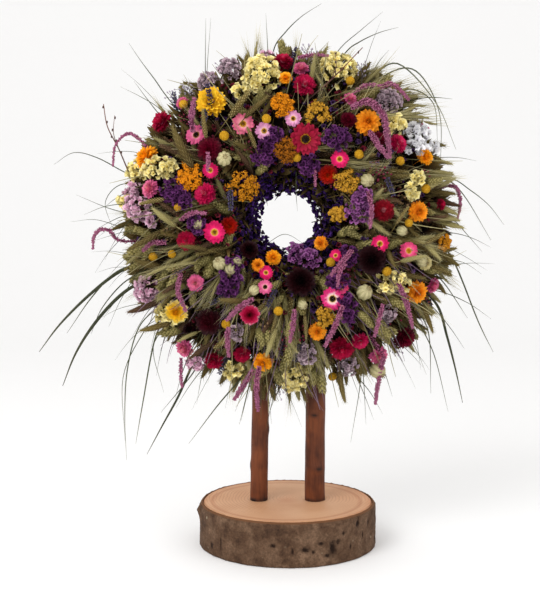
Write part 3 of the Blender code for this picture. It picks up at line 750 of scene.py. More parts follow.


# The darkest stops colour the core shell and the feet of the leaves: painted shade of the wreath's depths.
# The lighter stops are the leaves' own dried colour.
foliage = plant_finish(
    "dried_leaves_stems_and_painted_shade",
    [(0.0, "#150A08"), (0.12, "#1F100C"), (0.30, "#352314"), (0.60, "#5A4728"), (1.0, "#7E6E42")],
    shades=(0.40, 1.15), grain=0.003, relief=0.001, mottle=0.3, Roughness=0.9, Specular_IOR_Level=0.08)
leaf_shapes = [leaf(0.24, 0.25, 0.25), leaf(0.16, 0.3, -0.2, widest=0.3), leaf(0.32, 0.2, 0.35, widest=0.5),
               leaf(0.10, 0.3, 0.3, widest=0.4, rows=3)]
core_depth = 0.68
groove_radius = tube_radius + 0.0035
hole_in_front, hole_behind = 0.040, 0.044
bunch_span = 30
front_leaves, edge_leaves, back_leaves, back_stems = 360, 130, 210, 34
for number in range(1, 13):
    rng = random.Random(100 + number)
    start = (number - 1) * bunch_span
    # The core shell: a lumpy sheet under the leaves in the near-black foot of the ramp, painted shade that
    # fills the depths between them.
    outline = []
    for step in range(22):
        turn = math.radians(-6 + step * 192 / 21)
        outline.append((ring_radius + shell_half_width * core_depth * math.cos(turn),
                        -shell_depth * core_depth * math.sin(turn)))
    for step in range(13):
        turn = math.radians(202 - step * 224 / 12)
        outline.append((ring_radius + groove_radius * math.cos(turn), -groove_radius * math.sin(turn)))
    bm = bmesh.new()
    corners = [bm.verts.new(on_clock(start, distance, y)) for distance, y in outline]
    edges = [bm.edges.new(pair) for pair in zip(corners, corners[1:] + corners[:1])]
    bmesh.ops.spin(bm, geom=corners + edges, cent=(0, 0, centre_z), axis=(0, 1, 0), dvec=(0, 0, 0),
                   angle=math.radians(bunch_span), steps=12, use_merge=False)
    bmesh.ops.holes_fill(bm, edges=[edge for edge in bm.edges if edge.is_boundary], sides=0)
    bmesh.ops.recalc_face_normals(bm, faces=bm.faces)
    chart(bm, lambda corner: 0.05)
    for corner in bm.verts:
        angle = math.degrees(math.atan2(corner.co.x, corner.co.z - centre_z))
        middle = on_clock(angle, ring_radius, 0)
        out = corner.co - middle
        if out.length > groove_radius + 0.004:
            corner.co += out.normalized() * 0.010 * noise.fractal(corner.co * 70, 1.0, 2.0, 3)
        for _, top, radius, _, _ in stick_shapes.values():
            room = radius + 0.006
            if abs(corner.co.x - top) < room + 0.004 and corner.co.z < sticks_below and corner.co.y > -room:
                corner.co.y = -room
    parts = [(shape(bm), Matrix(), 0.4)]
    for _ in range(front_leaves):
        angle = start + rng.uniform(0, bunch_span)
        round_section = rng.uniform(-10, 178)
        place, off = on_bunch(angle, round_section, core_depth + rng.uniform(-0.03, 0.10))
        ahead = away_from_middle(angle) * rng.uniform(0.2, 1.0) + off * rng.uniform(0.2, 1.1)
        ahead += along_ring(angle) * rng.gauss(0, 0.7) + Vector((0, 0, -0.15))
        length = rng.uniform(0.014, 0.034)
        tip = place + ahead.normalized() * length
        if near_a_stick(place, tip) or hides_a_head((place, tip)) or distance_out(tip) < hole_in_front:
            continue
        facing = off + Vector((rng.gauss(0, 0.6), 0, rng.gauss(0, 0.6)))
        # Leaves on the inner side, towards the hole, get a darker tone: painted shade inside the hole.
        shade = 0.3 if round_section > 118 else 1
        parts.append((rng.choice(leaf_shapes), lying(place, ahead, facing, length), rng.random() * shade))
    for _ in range(edge_leaves):
        angle = start + rng.uniform(0, bunch_span)
        place, off = on_bunch(angle, rng.uniform(-14, 32), core_depth + rng.uniform(-0.02, 0.08))
        ahead = away_from_middle(angle) * rng.uniform(0.5, 1.0) + along_ring(angle) * rng.gauss(0, 0.5)
        ahead += Vector((0, rng.uniform(-0.6, 0.3), 0))
        length = rng.uniform(0.022, 0.040)
        tip = place + ahead.normalized() * length
        if near_a_stick(place, tip) or hides_a_head((place, tip)):
            continue
        kind = rng.choice(leaf_shapes)
        facing = off + Vector((0, rng.gauss(0.3, 0.5), 0))
        parts.append((kind, lying(place, ahead, facing, length), rng.uniform(0.3, 1)))
    for _ in range(back_leaves):
        angle = start + rng.uniform(0, bunch_span)
        outward = 1 if rng.random() < 0.62 else -1
        from_ring = rng.uniform(groove_radius - 0.002, shell_half_width * core_depth * 0.94)
        back = 0.0128 - 0.0050 * (from_ring - groove_radius) / (shell_half_width * core_depth - groove_radius)
        place = on_clock(angle, ring_radius + outward * from_ring, back)
        ahead = away_from_middle(angle) * outward + along_ring(angle) * rng.gauss(0.25, 0.5)
        ahead += Vector((0, rng.uniform(-0.10, 0.10), 0))
        length = rng.uniform(0.018, 0.038) * (1 if outward > 0 else 0.8)
        tip = place + ahead.normalized() * length
        if near_a_stick(place, tip) or distance_out(tip) < hole_behind:
            continue
        kind = rng.choice(leaf_shapes)
        facing = Vector((rng.gauss(0, 0.4), 1, rng.gauss(0, 0.4)))
        parts.append((kind, lying(place, ahead, facing, length), rng.uniform(0.2, 1)))
    for _ in range(back_stems):
        angle = start + rng.uniform(0, bunch_span)
        outward = 1 if rng.random() < 0.6 else -1
        shoulder = math.radians(rng.uniform(30, 58))
        skin = tube_radius + 0.0022
        place = on_clock(angle, ring_radius + outward * skin * math.cos(shoulder), skin * math.sin(shoulder))
        reach = rng.uniform(0.030, 0.056) * (1 if outward > 0 else 0.72)
        far_out = outward * (tube_radius * math.cos(shoulder) + reach)
        far = on_clock(angle + rng.uniform(2, 9), ring_radius + far_out, rng.uniform(0.008, 0.012))
        bend = place.lerp(far, 0.5) + Vector((0, 0.002, 0))
        if near_a_stick(place, bend, far):
            continue
        thick = rng.uniform(0.0006, 0.0012)
        stem = drawn_out([place, bend, far], [thick, thick, thick * 0.8], sides=5)
        parts.append((stem, Matrix(), rng.uniform(0.4, 1)))
    new_piece(f"bound_bunch_{number:02d}", gathered(parts), foliage, "wreath",
              (f"bunch_{number:02d}",))


# ---------------------------------------------------------------------------------------
# Foxtail, timothy and awned grasses: soft seed heads 28 to 60 mm long on thin straws, dried
# to olive and straw colour, a few gone brown. They lie outwards like thatch between flowers.

def hair(sides):
    """A flat bristle or scale one unit long and wide, pointed at its tip. U runs from 0.55 to 0.98."""
    bm = bmesh.new()
    bmesh.ops.create_circle(bm, cap_ends=True, segments=sides, radius=0.5)
    bottom = min(corner.co.y for corner in bm.verts)
    breadth = max(corner.co.x for corner in bm.verts) * 2
    for corner in bm.verts:
        corner.co = (corner.co.x / breadth, (corner.co.y - bottom) / (0.5 - bottom), 0)
    chart(bm, lambda corner: 0.55 + (0.98 - 0.55) * corner.co.y)
    return shape(bm)


def u_range(mesh, low, high):
    """A copy of a shape with its U squeezed into a range, which picks its colours."""
    copy = mesh.copy()
    strip = copy.uv_layers["OFBake"].data
    corners = np.empty(len(strip) * 2, np.float32)
    strip.foreach_get("uv", corners)
    corners[0::2] = low + (high - low) * corners[0::2]
    strip.foreach_set("uv", corners)
    return copy


golden_angle = 2.39996


def seed_head(rng, thickness, bristle, count, length, breadth, spread, curve=0.12):
    """A seed head one unit long on +Y, on a straw. U is 0 to 0.5 on the head, 0.5 to 1 on its bristles."""
    stations = [0.0, 0.05, 0.14, 0.25, 0.36, 0.47, 0.58, 0.69, 0.80, 0.90, 0.97, 1.0]
    swell = [0.30, 0.62, 0.85, 0.97, 1.0, 1.0, 0.96, 0.87, 0.73, 0.53, 0.30, 0.06]
    bend = rng.uniform(-curve, curve)
    droop = rng.uniform(-0.10, 0.02)
    points = [Vector((bend * s * s, s, droop * s * s)) for s in stations]
    core = drawn_out(points, [thickness / 2 * b * rng.uniform(0.85, 1.1) for b in swell], sides=7)
    straw = [Vector((0, -0.7, -0.05)), Vector((0, -0.3, -0.02)), Vector((0, 0.03, 0))]
    parts = [(u_range(core, 0.0, 0.5), Matrix(), 0.5),
             (u_range(drawn_out(straw, [0.012, 0.012, 0.014], sides=4), 0.2, 0.5), Matrix(), 0.5)]
    for at in range(count):
        s = 0.01 + 0.97 * (at + rng.random()) / count
        turn = at * golden_angle
        out = Vector((math.cos(turn), 0, math.sin(turn)))
        root = Vector((bend * s * s, s, droop * s * s))
        root += out * float(np.interp(s, stations, swell)) * thickness * 0.42
        ahead = out * spread * rng.uniform(0.7, 1.3) + Vector((0, 1, 0))
        parts.append((bristle, lying(root, ahead, out, length * rng.uniform(0.7, 1.25), breadth), 0.5))
    return shape(gathered(parts))


rng = random.Random(21)
fine_bristle, scale_bristle = hair(3), hair(4)
foxtail_shapes = [seed_head(rng, rng.uniform(0.15, 0.21), fine_bristle, 140, 0.14, 0.016, 0.95)
                  for _ in range(6)]
timothy_shapes = [seed_head(rng, rng.uniform(0.15, 0.20), scale_bristle, 110, 0.080, 0.040, 0.65)
                  for _ in range(3)]
awned_shapes = [seed_head(rng, 0.11, fine_bristle, 34, 0.75, 0.012, 0.20) for _ in range(2)]
# In each ramp the darkest stops, at the foot of the head and the roots of its bristles, are painted shade
# where the heads dip in among the others; the pale tips are the bristles' own colour.
olive_stops = [(0.0, "#3E311B"), (0.25, "#5C4D2A"), (0.48, "#716338"), (0.55, "#625430"), (0.75, "#8F814E"),
               (1.0, "#C4B684")]
pale_stops = [(0.0, "#625A34"), (0.25, "#8F8554"), (0.48, "#A29868"), (0.55, "#8E8456"), (0.75, "#BAB07E"),
              (1.0, "#E2D9B0")]
brown_stops = [(0.0, "#2A1C14"), (0.25, "#463325"), (0.48, "#5B4531"), (0.55, "#4C3827"), (0.8, "#7A6046"),
               (1.0, "#A38A68")]


def outward_spray(rng, shapes, count, length, section, slant, lift, depth=(0.62, 0.86), clock=(0, 360),
                  over=0.0, heading=None):
    """Places for seed heads that lie outwards on the bunches, off the flower heads and the sticks."""
    parts = []
    tries = 0
    while len(parts) < count and tries < count * 14:
        tries += 1
        angle = rng.uniform(*clock)
        size = rng.uniform(*length)
        round_section = rng.uniform(*section)
        place, off = on_bunch(angle, round_section, rng.uniform(*depth))
        leading = away_from_middle(angle if heading is None else heading)
        ahead = leading + off * rng.uniform(*lift) + along_ring(angle) * rng.gauss(0, slant)
        ahead = (ahead + Vector((0, 0, -0.22))).normalized()
        points = [place + ahead * size * part for part in (0, 0.35, 0.7, 1.0)]
        edge = reach_at(angle) + over + rng.gauss(0, 0.006)
        if distance_out(points[3]) > edge or near_a_stick(*points, room=0.010):
            continue
        if hides_a_head(points, 0.006, 0.004):
            continue
        facing = off + Vector((rng.gauss(0, 0.5), 0, rng.gauss(0, 0.5)))
        parts.append((rng.choice(shapes), lying(place, ahead, facing, size), rng.random()))
    return parts


# the heads that lie foremost: clock angle and distance of the root, heading of the tip, and length
foremost = {
    "olive_foxtail_heads": [(299, 150, 328, 60), (337, 153, 44, 42), (265, 177, 238, 50), (229, 213, 252, 44),
                            (205, 123, 266, 42), (161, 219, 176, 44), (122, 217, 156, 42),
                            (250, 120, 285, 36)],
    "pale_foxtail_heads": [(267, 155, 304, 40), (219, 198, 254, 30), (110, 165, 75, 36), (186, 150, 200, 40)],
    "timothy_heads": [(315, 159, 351, 38), (330, 163, 42, 44), (336, 110, 340, 30), (170, 134, 172, 30),
                      (100, 190, 60, 32), (92, 150, 30, 28), (280, 172, 262, 34)],
    "browned_grass_heads": [(238, 206, 244, 48), (211, 194, 244, 42)],
}
rng = random.Random(22)
for name, stops, shades, shapes, sprays in (
    ("olive_foxtail_heads", olive_stops, (0.66, 1.15), foxtail_shapes,
     ((60, (0.038, 0.058), (20, 130), 0.62, (0.10, 0.80), (0.62, 0.86), (230, 480)),
      (30, (0.036, 0.052), (20, 130), 0.55, (0.10, 0.80), (0.62, 0.86), (120, 230)),
      (60, (0.038, 0.056), (-8, 34), 0.36, (0.0, 0.35), (0.74, 0.98)))),
    ("pale_foxtail_heads", pale_stops, (0.62, 1.12), foxtail_shapes,
     ((52, (0.036, 0.056), (10, 125), 0.66, (0.10, 0.80), (0.72, 0.98)),
      (32, (0.036, 0.054), (-8, 40), 0.30, (0.0, 0.35), (0.80, 1.0), (45, 140)))),
    ("timothy_heads", olive_stops, (0.75, 1.30), timothy_shapes,
     ((70, (0.030, 0.048), (5, 130), 0.62, (0.10, 0.80), (0.70, 0.92)),)),
    ("awned_grass_heads", pale_stops, (0.60, 1.05), awned_shapes,
     ((50, (0.030, 0.042), (0, 110), 0.35, (0.05, 0.5), (0.72, 0.94), (0, 360), 0.010),
      (14, (0.034, 0.046), (30, 110), 0.35, (0.2, 0.6), (0.84, 0.98), (120, 250), 0.010),
      (22, (0.040, 0.052), (20, 115), 0.22, (0.05, 0.30), (0.86, 1.0), (10, 54), 0.020, 74))),
    ("browned_grass_heads", brown_stops, (0.60, 1.15), foxtail_shapes + timothy_shapes,
     ((80, (0.032, 0.050), (0, 140), 0.60, (0.10, 0.8), (0.66, 0.92)),)),
):
    finish = plant_finish(name.replace("_heads", "_bristles"), stops, shades=shades, grain=0.0015,
                          relief=0.0006, mottle=0.22, Roughness=0.85, Specular_IOR_Level=0.12)
    parts = []
    for spray in sprays:
        parts += outward_spray(rng, shapes, *spray)
    for clock, distance, heading, length in foremost.get(name, ()):
        middle, facing = head_place(clock, distance)
        ahead = away_from_middle(heading) + facing * rng.uniform(0.05, 0.25)
        root = middle + facing * 0.006
        parts.append((rng.choice(shapes), lying(root, ahead, facing, length / 1000), rng.uniform(0.4, 0.9)))
    new_piece(name, gathered(parts), finish, "wreath")


# ---------------------------------------------------------------------------------------
# Canary grass: plump oval heads 18 to 30 mm long, of flat scales that overlap like tiles,
# pale green with a green keel down each scale. Each scale darkens towards its root: painted shade where the
# scales overlap.

canary = plant_finish(
    "canary_grass_scales",
    [(0.0, "#5E5830"), (0.48, "#736A3A"), (0.55, "#5F582E"), (0.75, "#938850"), (1.0, "#C0B47C")],
    shades=(0.62, 1.12), grain=0.001, relief=0.0003, mottle=0.12, Roughness=0.75, Specular_IOR_Level=0.16)
rng = random.Random(31)
canary_shapes = [seed_head(rng, 0.46, scale_bristle, 70, 0.24, 0.15, 0.32, 0.05) for _ in range(3)]
parts = outward_spray(rng, canary_shapes, 84, (0.018, 0.028), (0, 128), 0.8, (0.3, 1.1), (0.84, 1.0))
parts += outward_spray(rng, canary_shapes, 22, (0.020, 0.030), (30, 110), 0.7, (0.3, 0.9), (0.90, 1.02),
                       (135, 260))
new_piece("canary_grass_heads", gathered(parts), canary, "wreath")


# ---------------------------------------------------------------------------------------
# Straws: bare stems one to two millimetres thick and 50 to 100 mm long, in the heads, olive
# and straw yellow, with some dusty purple ones low on the right.

rng = random.Random(41)
stem_shapes = []
for _ in range(6):
    bend, sway = rng.uniform(-0.12, 0.12), rng.uniform(-0.04, 0.10)
    points = [Vector((bend * math.sin(2.4 * s), s, sway * math.sin(3 * s)))
              for s in (0, 0.25, 0.5, 0.75, 1.0)]
    stem_shapes.append(drawn_out(points, [0.0085, 0.008, 0.007, 0.006, 0.003], sides=4))
for name, count, clock, stops in (
    ("loose_straws", 170, (0, 360), [(0.0, "#54502F"), (0.5, "#857D50"), (1.0, "#B0A678")]),
    ("purple_straws", 90, (100, 260), [(0.0, "#3E2A36"), (0.5, "#644A60"), (1.0, "#85707E")]),
):
    parts = []
    while len(parts) < count:
        angle = rng.uniform(*clock)
        size = rng.uniform(0.05, 0.10)
        place, off = on_bunch(angle, rng.uniform(10, 120), rng.uniform(0.74, 0.97))
        ahead = away_from_middle(angle) + off * rng.uniform(-0.05, 0.35)
        ahead += along_ring(angle) * rng.gauss(0, 0.4)
        ahead = (ahead + Vector((0, 0, -0.35))).normalized()
        points = [place + ahead * size * part for part in (0, 0.25, 0.5, 0.75, 1.0)]
        if distance_out(points[4]) > reach_at(angle) + 0.018 or near_a_stick(*points):
            continue
        if hides_a_head(points[:4], 0.0, 0.002):
            continue
        parts.append((rng.choice(stem_shapes), lying(place, ahead, off, size), rng.random()))
    finish = plant_finish(name + "_skin", stops, shades=(0.5, 1.25), grain=0.003, relief=0.0002, mottle=0.15,
                          Roughness=0.7)
    new_piece(name, gathered(parts), finish, "wreath")


# ---------------------------------------------------------------------------------------
# Statice: papery five-lobed funnels 5 to 11 mm wide that keep their colour dry, crowded on
# branching sprays. Dark violet lines the hole, and other colours fill the gaps.

def funnel(rng):
    """One papery funnel of unit width that opens on +Z, with ruffled lobes. U runs to the rim."""
    bm = bmesh.new()
    bmesh.ops.create_cone(bm, cap_ends=False, segments=10, radius1=0.10, radius2=0.5, depth=0.6)
    chart(bm, lambda corner: 0.95 if corner.co.z > 0 else 0.16)
    rim = [corner for corner in bm.verts if corner.co.z > 0]
    for at, corner in enumerate(sorted(rim, key=lambda corner: math.atan2(corner.co.y, corner.co.x))):
        corner.co.xy *= rng.uniform(0.95, 1.2) if at % 2 else rng.uniform(0.60, 0.78)
        corner.co.z += rng.uniform(-0.16, 0.12) - (0.10 if at % 2 else 0)
    bmesh.ops.translate(bm, vec=(0, 0, 0.3), verts=bm.verts)
    return shape(bm)


def towards(place, facing, size, spin=0.0):
    """A matrix that stands a shape's +Z along a direction."""
    turn = facing.to_track_quat("Z", "Y").to_matrix().to_4x4()
    return Matrix.Translation(place) @ turn @ Matrix.Rotation(spin, 4, "Z") @ Matrix.Scale(size, 4)


def stem_between(foot, top, radius=0.0004):
    """A thin stem from one place to another."""
    way = top - foot
    return stem_shape, towards(top, way, 1.0) @ Matrix.Diagonal((radius, radius, way.length, 1)), 0.02


stem_points = [Vector((0, 0, -part)) for part in (0, 0.5, 1)]
stem_shape = u_range(drawn_out(stem_points, [1, 1, 1], sides=5), 0.0, 0.08)
rng = random.Random(51)
funnel_shapes = [funnel(rng) for _ in range(6)]
statice_colours = {
    "violet": [(0, "#1C1030"), (0.08, "#2E1238"), (0.5, "#5A265C"), (1, "#86468A")],
    "bright_violet": [(0, "#2E1840"), (0.08, "#50225A"), (0.5, "#92448E"), (1, "#C080BC")],
    "lemon": [(0, "#6A6A34"), (0.08, "#B4A65C"), (0.12, "#DECE7C"), (0.5, "#F4E496"), (1, "#FAF0B8")],
    "lilac": [(0, "#5E5040"), (0.08, "#9E7A90"), (0.12, "#C092AE"), (0.5, "#DAA9C2"), (1, "#F0D0DE")],
    "grey_lilac": [(0, "#5A5044"), (0.08, "#84707A"), (0.5, "#B69CAA"), (1, "#E4CED6")],
    "white": [(0, "#6C6454"), (0.08, "#A8A0AC"), (0.12, "#E2DEE8"), (0.5, "#F6F4F8"), (1, "#FFFFFF")],
}
for colour, stops in statice_colours.items():
    shades = {"white": (0.74, 1.04), "lemon": (0.84, 1.2), "lilac": (0.82, 1.15)}.get(colour, (0.55, 1.08))
    finish = plant_finish("statice_" + colour, stops, shades=shades, grain=0.0015, relief=0.0002,
                          mottle=0.12, Roughness=0.8, Specular_IOR_Level=0.16)
    rng = random.Random(52 + len(colour))
    floret_size = {"lemon": 1.25, "white": 1.35, "lilac": 1.15}.get(colour, 1.0)
    fullness = {"lemon": 0.72, "white": 0.45, "lilac": 0.75}.get(colour, 1.0)
    parts = []
    for clock, distance, across in statice_sprays[colour]:
        middle, facing = head_place(clock, distance)
        radius = across / 2000
        side = along_ring(clock)
        up = facing.cross(side).normalized()
        foot = middle - facing * 0.030
        for at in range(int(60 * fullness * (across / 30) ** 2) + 8):
            out = math.sqrt(rng.random()) * radius * rng.uniform(0.8, 1.15)
            turn = rng.uniform(0, 2 * math.pi)
            place = middle + side * out * math.cos(turn) + up * out * math.sin(turn)
            place += facing * (radius * 0.5 * (1 - (out / radius) ** 2) + rng.uniform(-0.010, 0.003))
            way = facing + (place - middle) * (0.8 / radius) + Vector([rng.gauss(0, 0.3) for _ in range(3)])
            if near_a_stick(place):
                continue
            if at % 3 == 0:
                parts.append(stem_between(foot, place))
            kind, size = rng.choice(funnel_shapes), rng.uniform(0.0052, 0.0082) * floret_size
            parts.append((kind, towards(place, way, size, rng.uniform(0, 6)), rng.random()))
    new_piece(colour + "_statice", gathered(parts), finish, "wreath")

for name, count, sections, depths, slack, stops, shades in (
    ("dark_violet_statice_at_hole", 1500, (116, 190), (0.66, 0.86), 0.004,
     [(0.0, "#0E0614"), (0.5, "#2A1446"), (1.0, "#583486")], (0.30, 1.4)),
    ("violet_statice_in_gaps", 520, (24, 125), (0.70, 0.90), 0.006,
     [(0.0, "#1C0C24"), (0.5, "#472A58"), (1.0, "#7A5690")], (0.45, 1.25)),
    ("burgundy_bits_in_gaps", 620, (10, 130), (0.74, 0.93), 0.006,
     [(0.0, "#16080A"), (0.5, "#4E1622"), (1.0, "#88283A")], (0.4, 1.2)),
):
    finish = plant_finish(name + "_florets", stops, shades=shades, relief=0.0002, mottle=0.2,
                          Roughness=0.85, Specular_IOR_Level=0.10)
    rng = random.Random(58 + count)
    parts = []
    while len(parts) < count:
        angle = rng.uniform(0, 360)
        way_round = Vector((math.cos(math.radians(angle)) * 4, math.sin(math.radians(angle)) * 4, count))
        if noise.noise(way_round) < -0.15 and count < 1000:
            continue
        place, off = on_bunch(angle, rng.uniform(*sections), rng.uniform(*depths))
        if hides_a_head([place], 0.0, slack) or near_a_stick(place):
            continue
        way = off + Vector((rng.gauss(0, 0.5), rng.gauss(0, 0.5) - 0.2, rng.gauss(0, 0.5)))
        kind, size = rng.choice(funnel_shapes), rng.uniform(0.005, 0.0085)
        parts.append((kind, towards(place, way, size, rng.uniform(0, 6)), rng.random()))
    new_piece(name, gathered(parts), finish, "wreath")


# ---------------------------------------------------------------------------------------
# Broom bloom: wiry sprigs with a tiny bud at each tip, brown, wine and grey-lilac. Bound in
# as filler, they blur the edge of the wreath and the gaps between the heads.

bead = bmesh.new()
bmesh.ops.create_icosphere(bead, subdivisions=1, radius=1)
chart(bead, lambda corner: 0.5)
bead = shape(bead)


def beads_at(value):
    """The bead with one U, which picks its colour."""
    made = bead.copy()
    strip = made.uv_layers["OFBake"].data
    strip.foreach_set("uv", [value, 0.5] * len(strip))
    return made


def sized(place, wide, deep, high):
    """A matrix that sets a shape at a place, with a size along each of its axes."""
    return Matrix.Translation(place) @ Matrix.Diagonal((wide, deep, high, 1))


bud = beads_at(0.9)
rng = random.Random(61)
sprig_shapes = []
for _ in range(4):
    spine = [Vector((0.10 * math.sin(3 * s), s * 0.9, 0.05 * s)) for s in (0, 0.3, 0.6, 0.9)]
    parts = [(u_range(drawn_out(spine, [0.014, 0.012, 0.010, 0.008], sides=3), 0, 0.5), Matrix(), 0.5)]
    for at in range(15):
        s = 0.25 + 0.65 * at / 15
        foot = Vector((0.10 * math.sin(3 * s), s * 0.9, 0.05 * s))
        turn = at * golden_angle
        tip = foot + Vector((math.cos(turn), 1.1, math.sin(turn))) * rng.uniform(0.12, 0.24)
        parts.append(stem_between(foot, tip, 0.007))
        parts.append((bud, sized(tip, 0.034, 0.048, 0.034), 0.5))
    sprig_shapes.append(shape(gathered(parts)))
for name, stops, sprays in (
    ("brown_broom_bloom", [(0.0, "#2E2016"), (0.5, "#5E4632"), (1.0, "#8E7250")],
     ((50, (0.028, 0.045), (10, 140), 0.5, (0.1, 0.9), (0.66, 0.90), (0, 360), -0.012),)),
    ("wine_broom_bloom", [(0.0, "#2E1218"), (0.5, "#5A1E2E"), (1.0, "#8A3248")],
     ((40, (0.028, 0.042), (20, 140), 0.5, (0.1, 0.9), (0.70, 0.90), (0, 360), -0.012),)),
    ("grey_broom_bloom", [(0.0, "#5C5448"), (0.5, "#8E8494"), (1.0, "#C9BECE")],
     ((22, (0.028, 0.042), (-5, 40), 0.4, (0.0, 0.5), (0.80, 1.0), (300, 420), 0.004),
      (8, (0.028, 0.040), (-5, 40), 0.4, (0.0, 0.5), (0.80, 1.0), (100, 250), 0.002))),
):
    finish = plant_finish(name + "_buds", stops, shades=(0.6, 1.2), relief=0.0003, mottle=0.2,
                          Roughness=0.85, Specular_IOR_Level=0.12)
    parts = []
    for spray in sprays:
        parts += outward_spray(rng, sprig_shapes, *spray)
    new_piece(name, gathered(parts), finish, "wreath")


# ---------------------------------------------------------------------------------------
# Strawflowers: stiff, satiny, pointed bracts in seven close whorls on a domed receptacle,
# bent back outside and closed over the disc inside. Each stands on its own stem.

bract_shapes = [leaf(0.42, 0.22, 0.16, widest=0.55, base=0.45, tip=0.06, fullness=2.4),
                leaf(0.48, 0.26, 0.10, widest=0.60, base=0.45, tip=0.08, fullness=2.4)]
# tilt above flat, where the bract is fixed out and up, its length, and how many, for a head of unit radius
whorls = [(-20, 0.24, -0.06, 0.76, 19), (-2, 0.25, 0.02, 0.76, 19), (15, 0.24, 0.08, 0.70, 18),
          (31, 0.21, 0.13, 0.62, 16), (46, 0.17, 0.18, 0.54, 13), (61, 0.12, 0.22, 0.46, 11),
          (76, 0.06, 0.24, 0.40, 8)]
whorl_bracts = [[u_range(bract, 1 - (at + 1) / 7, 1 - at / 7) for bract in bract_shapes] for at in range(7)]
strawflower_colours = {
    "yellow": [(0, "#E09A10"), (0.14, "#FBCE2A"), (0.45, "#FFDE40"), (0.85, "#F8C82A"), (1, "#E4AA2A")],
    "yellow_cream": [(0, "#E8960E"), (0.3, "#FFC81E"), (0.65, "#FFD63C"), (1, "#F0E0A0")],
    "orange": [(0, "#A8520A"), (0.14, "#E88A14"), (0.6, "#F5A428"), (0.85, "#EA921A"), (1, "#C46C14")],
    "orange_gold": [(0, "#C0700C"), (0.14, "#F4A210"), (0.6, "#FFB626"), (0.85, "#F2A018"), (1, "#CC8020")],
    # The pale pink first stops of crimson and crimson_pink colour the closed middle whorls: a painted
    # highlight.
    "crimson": [(0, "#F48CAA"), (0.16, "#DC2A5C"), (0.4, "#BE1244"), (0.8, "#980A30"), (1, "#6C061C")],
    "crimson_pink": [(0, "#F8C6D0"), (0.16, "#E85C88"), (0.35, "#CC1A52"), (0.75, "#A80E3C"), (1, "#7C0828")],
    "magenta_rimmed": [(0, "#70081A"), (0.25, "#A00E2C"), (0.5, "#C81048"), (0.8, "#E03468"), (1, "#F2A6BC")],
    "crimson_white": [(0, "#F2B4BC"), (0.2, "#E88A96"), (0.34, "#A5182A"), (0.7, "#850E1E"), (1, "#600A16")],
    "scarlet": [(0, "#D24A0E"), (0.3, "#BE1E0A"), (0.7, "#981008"), (1, "#68080A")],
    "garnet": [(0, "#960E34"), (0.3, "#780828"), (0.7, "#58061C"), (1, "#380410")],
    "wine": [(0, "#5A0C1C"), (0.3, "#420A16"), (0.7, "#300810"), (1, "#1E050A")],
    "burgundy": [(0, "#0E0204"), (0.4, "#1A0407"), (0.8, "#2A060C"), (1, "#190308")],
    "magenta": [(0, "#F4A2B4"), (0.2, "#DF2E6C"), (0.6, "#C8124F"), (1, "#8E0C38")],
    "pink": [(0, "#F3B3A6"), (0.3, "#EE82A6"), (0.7, "#E4709C"), (1, "#C9558A")],
    "cream": [(0, "#E6D79C"), (0.4, "#E2D5A0"), (1, "#C6B878")],
}
strawflower_finishes = {}
for colour, stops in strawflower_colours.items():
    shades = (0.90, 1.20) if colour in ("yellow", "orange", "orange_gold") else (0.80, 1.10)
    strawflower_finishes[colour] = plant_finish(
        "strawflower_bracts_" + colour, stops, shades=shades, grain=0.0009, relief=0.00015, mottle=0.10,
        Roughness=0.5, Specular_IOR_Level=0.16)
for number, (colour, clock, distance, across, tip, *node) in enumerate(strawflowers, 1):
    rng = random.Random(600 + number)
    radius = across / 1900
    closed = rng.uniform(-6, 8) + (10 if across < 24 else 0) + (20 if across > 41 else 0)
    closed += 7 if "crimson" in colour else 0
    stand = head_matrix(clock, distance, tip, rng.uniform(-10, 10)) @ Matrix.Scale(radius, 4)
    parts = [(stem_shape, stand @ sized((0, 0, -0.1), 0.035, 0.035, 0.024 / radius), 0.3),
             (beads_at(0.02), stand @ sized((0, 0, 0.06), 0.28, 0.28, 0.22), 0.5)]
    for at, (tilt, reach, height, length, count) in enumerate(whorls):
        for petal in range(count):
            spin = 2 * math.pi * (petal + 0.5 * (at % 2)) / count + rng.gauss(0, 0.06)
            lean = math.radians(tilt + closed + rng.gauss(0, 6))
            placed = Matrix.Rotation(spin, 4, "Z") @ Matrix.Translation((0, reach, height))
            size = length * rng.uniform(0.90, 1.08)
            placed = placed @ Matrix.Rotation(lean, 4, "X") @ Matrix.Scale(size, 4)
            parts.append((rng.choice(whorl_bracts[at]), stand @ placed, rng.random()))
    new_piece(f"strawflower_{number:02d}_{colour}", gathered(parts), strawflower_finishes[colour],
              "wreath", node)


# ---------------------------------------------------------------------------------------
# Paper daisies: three whorls of thin blunt bracts, pale at the foot and strong at the edge,
# round a flat disc of tiny florets, some with a dark eye.

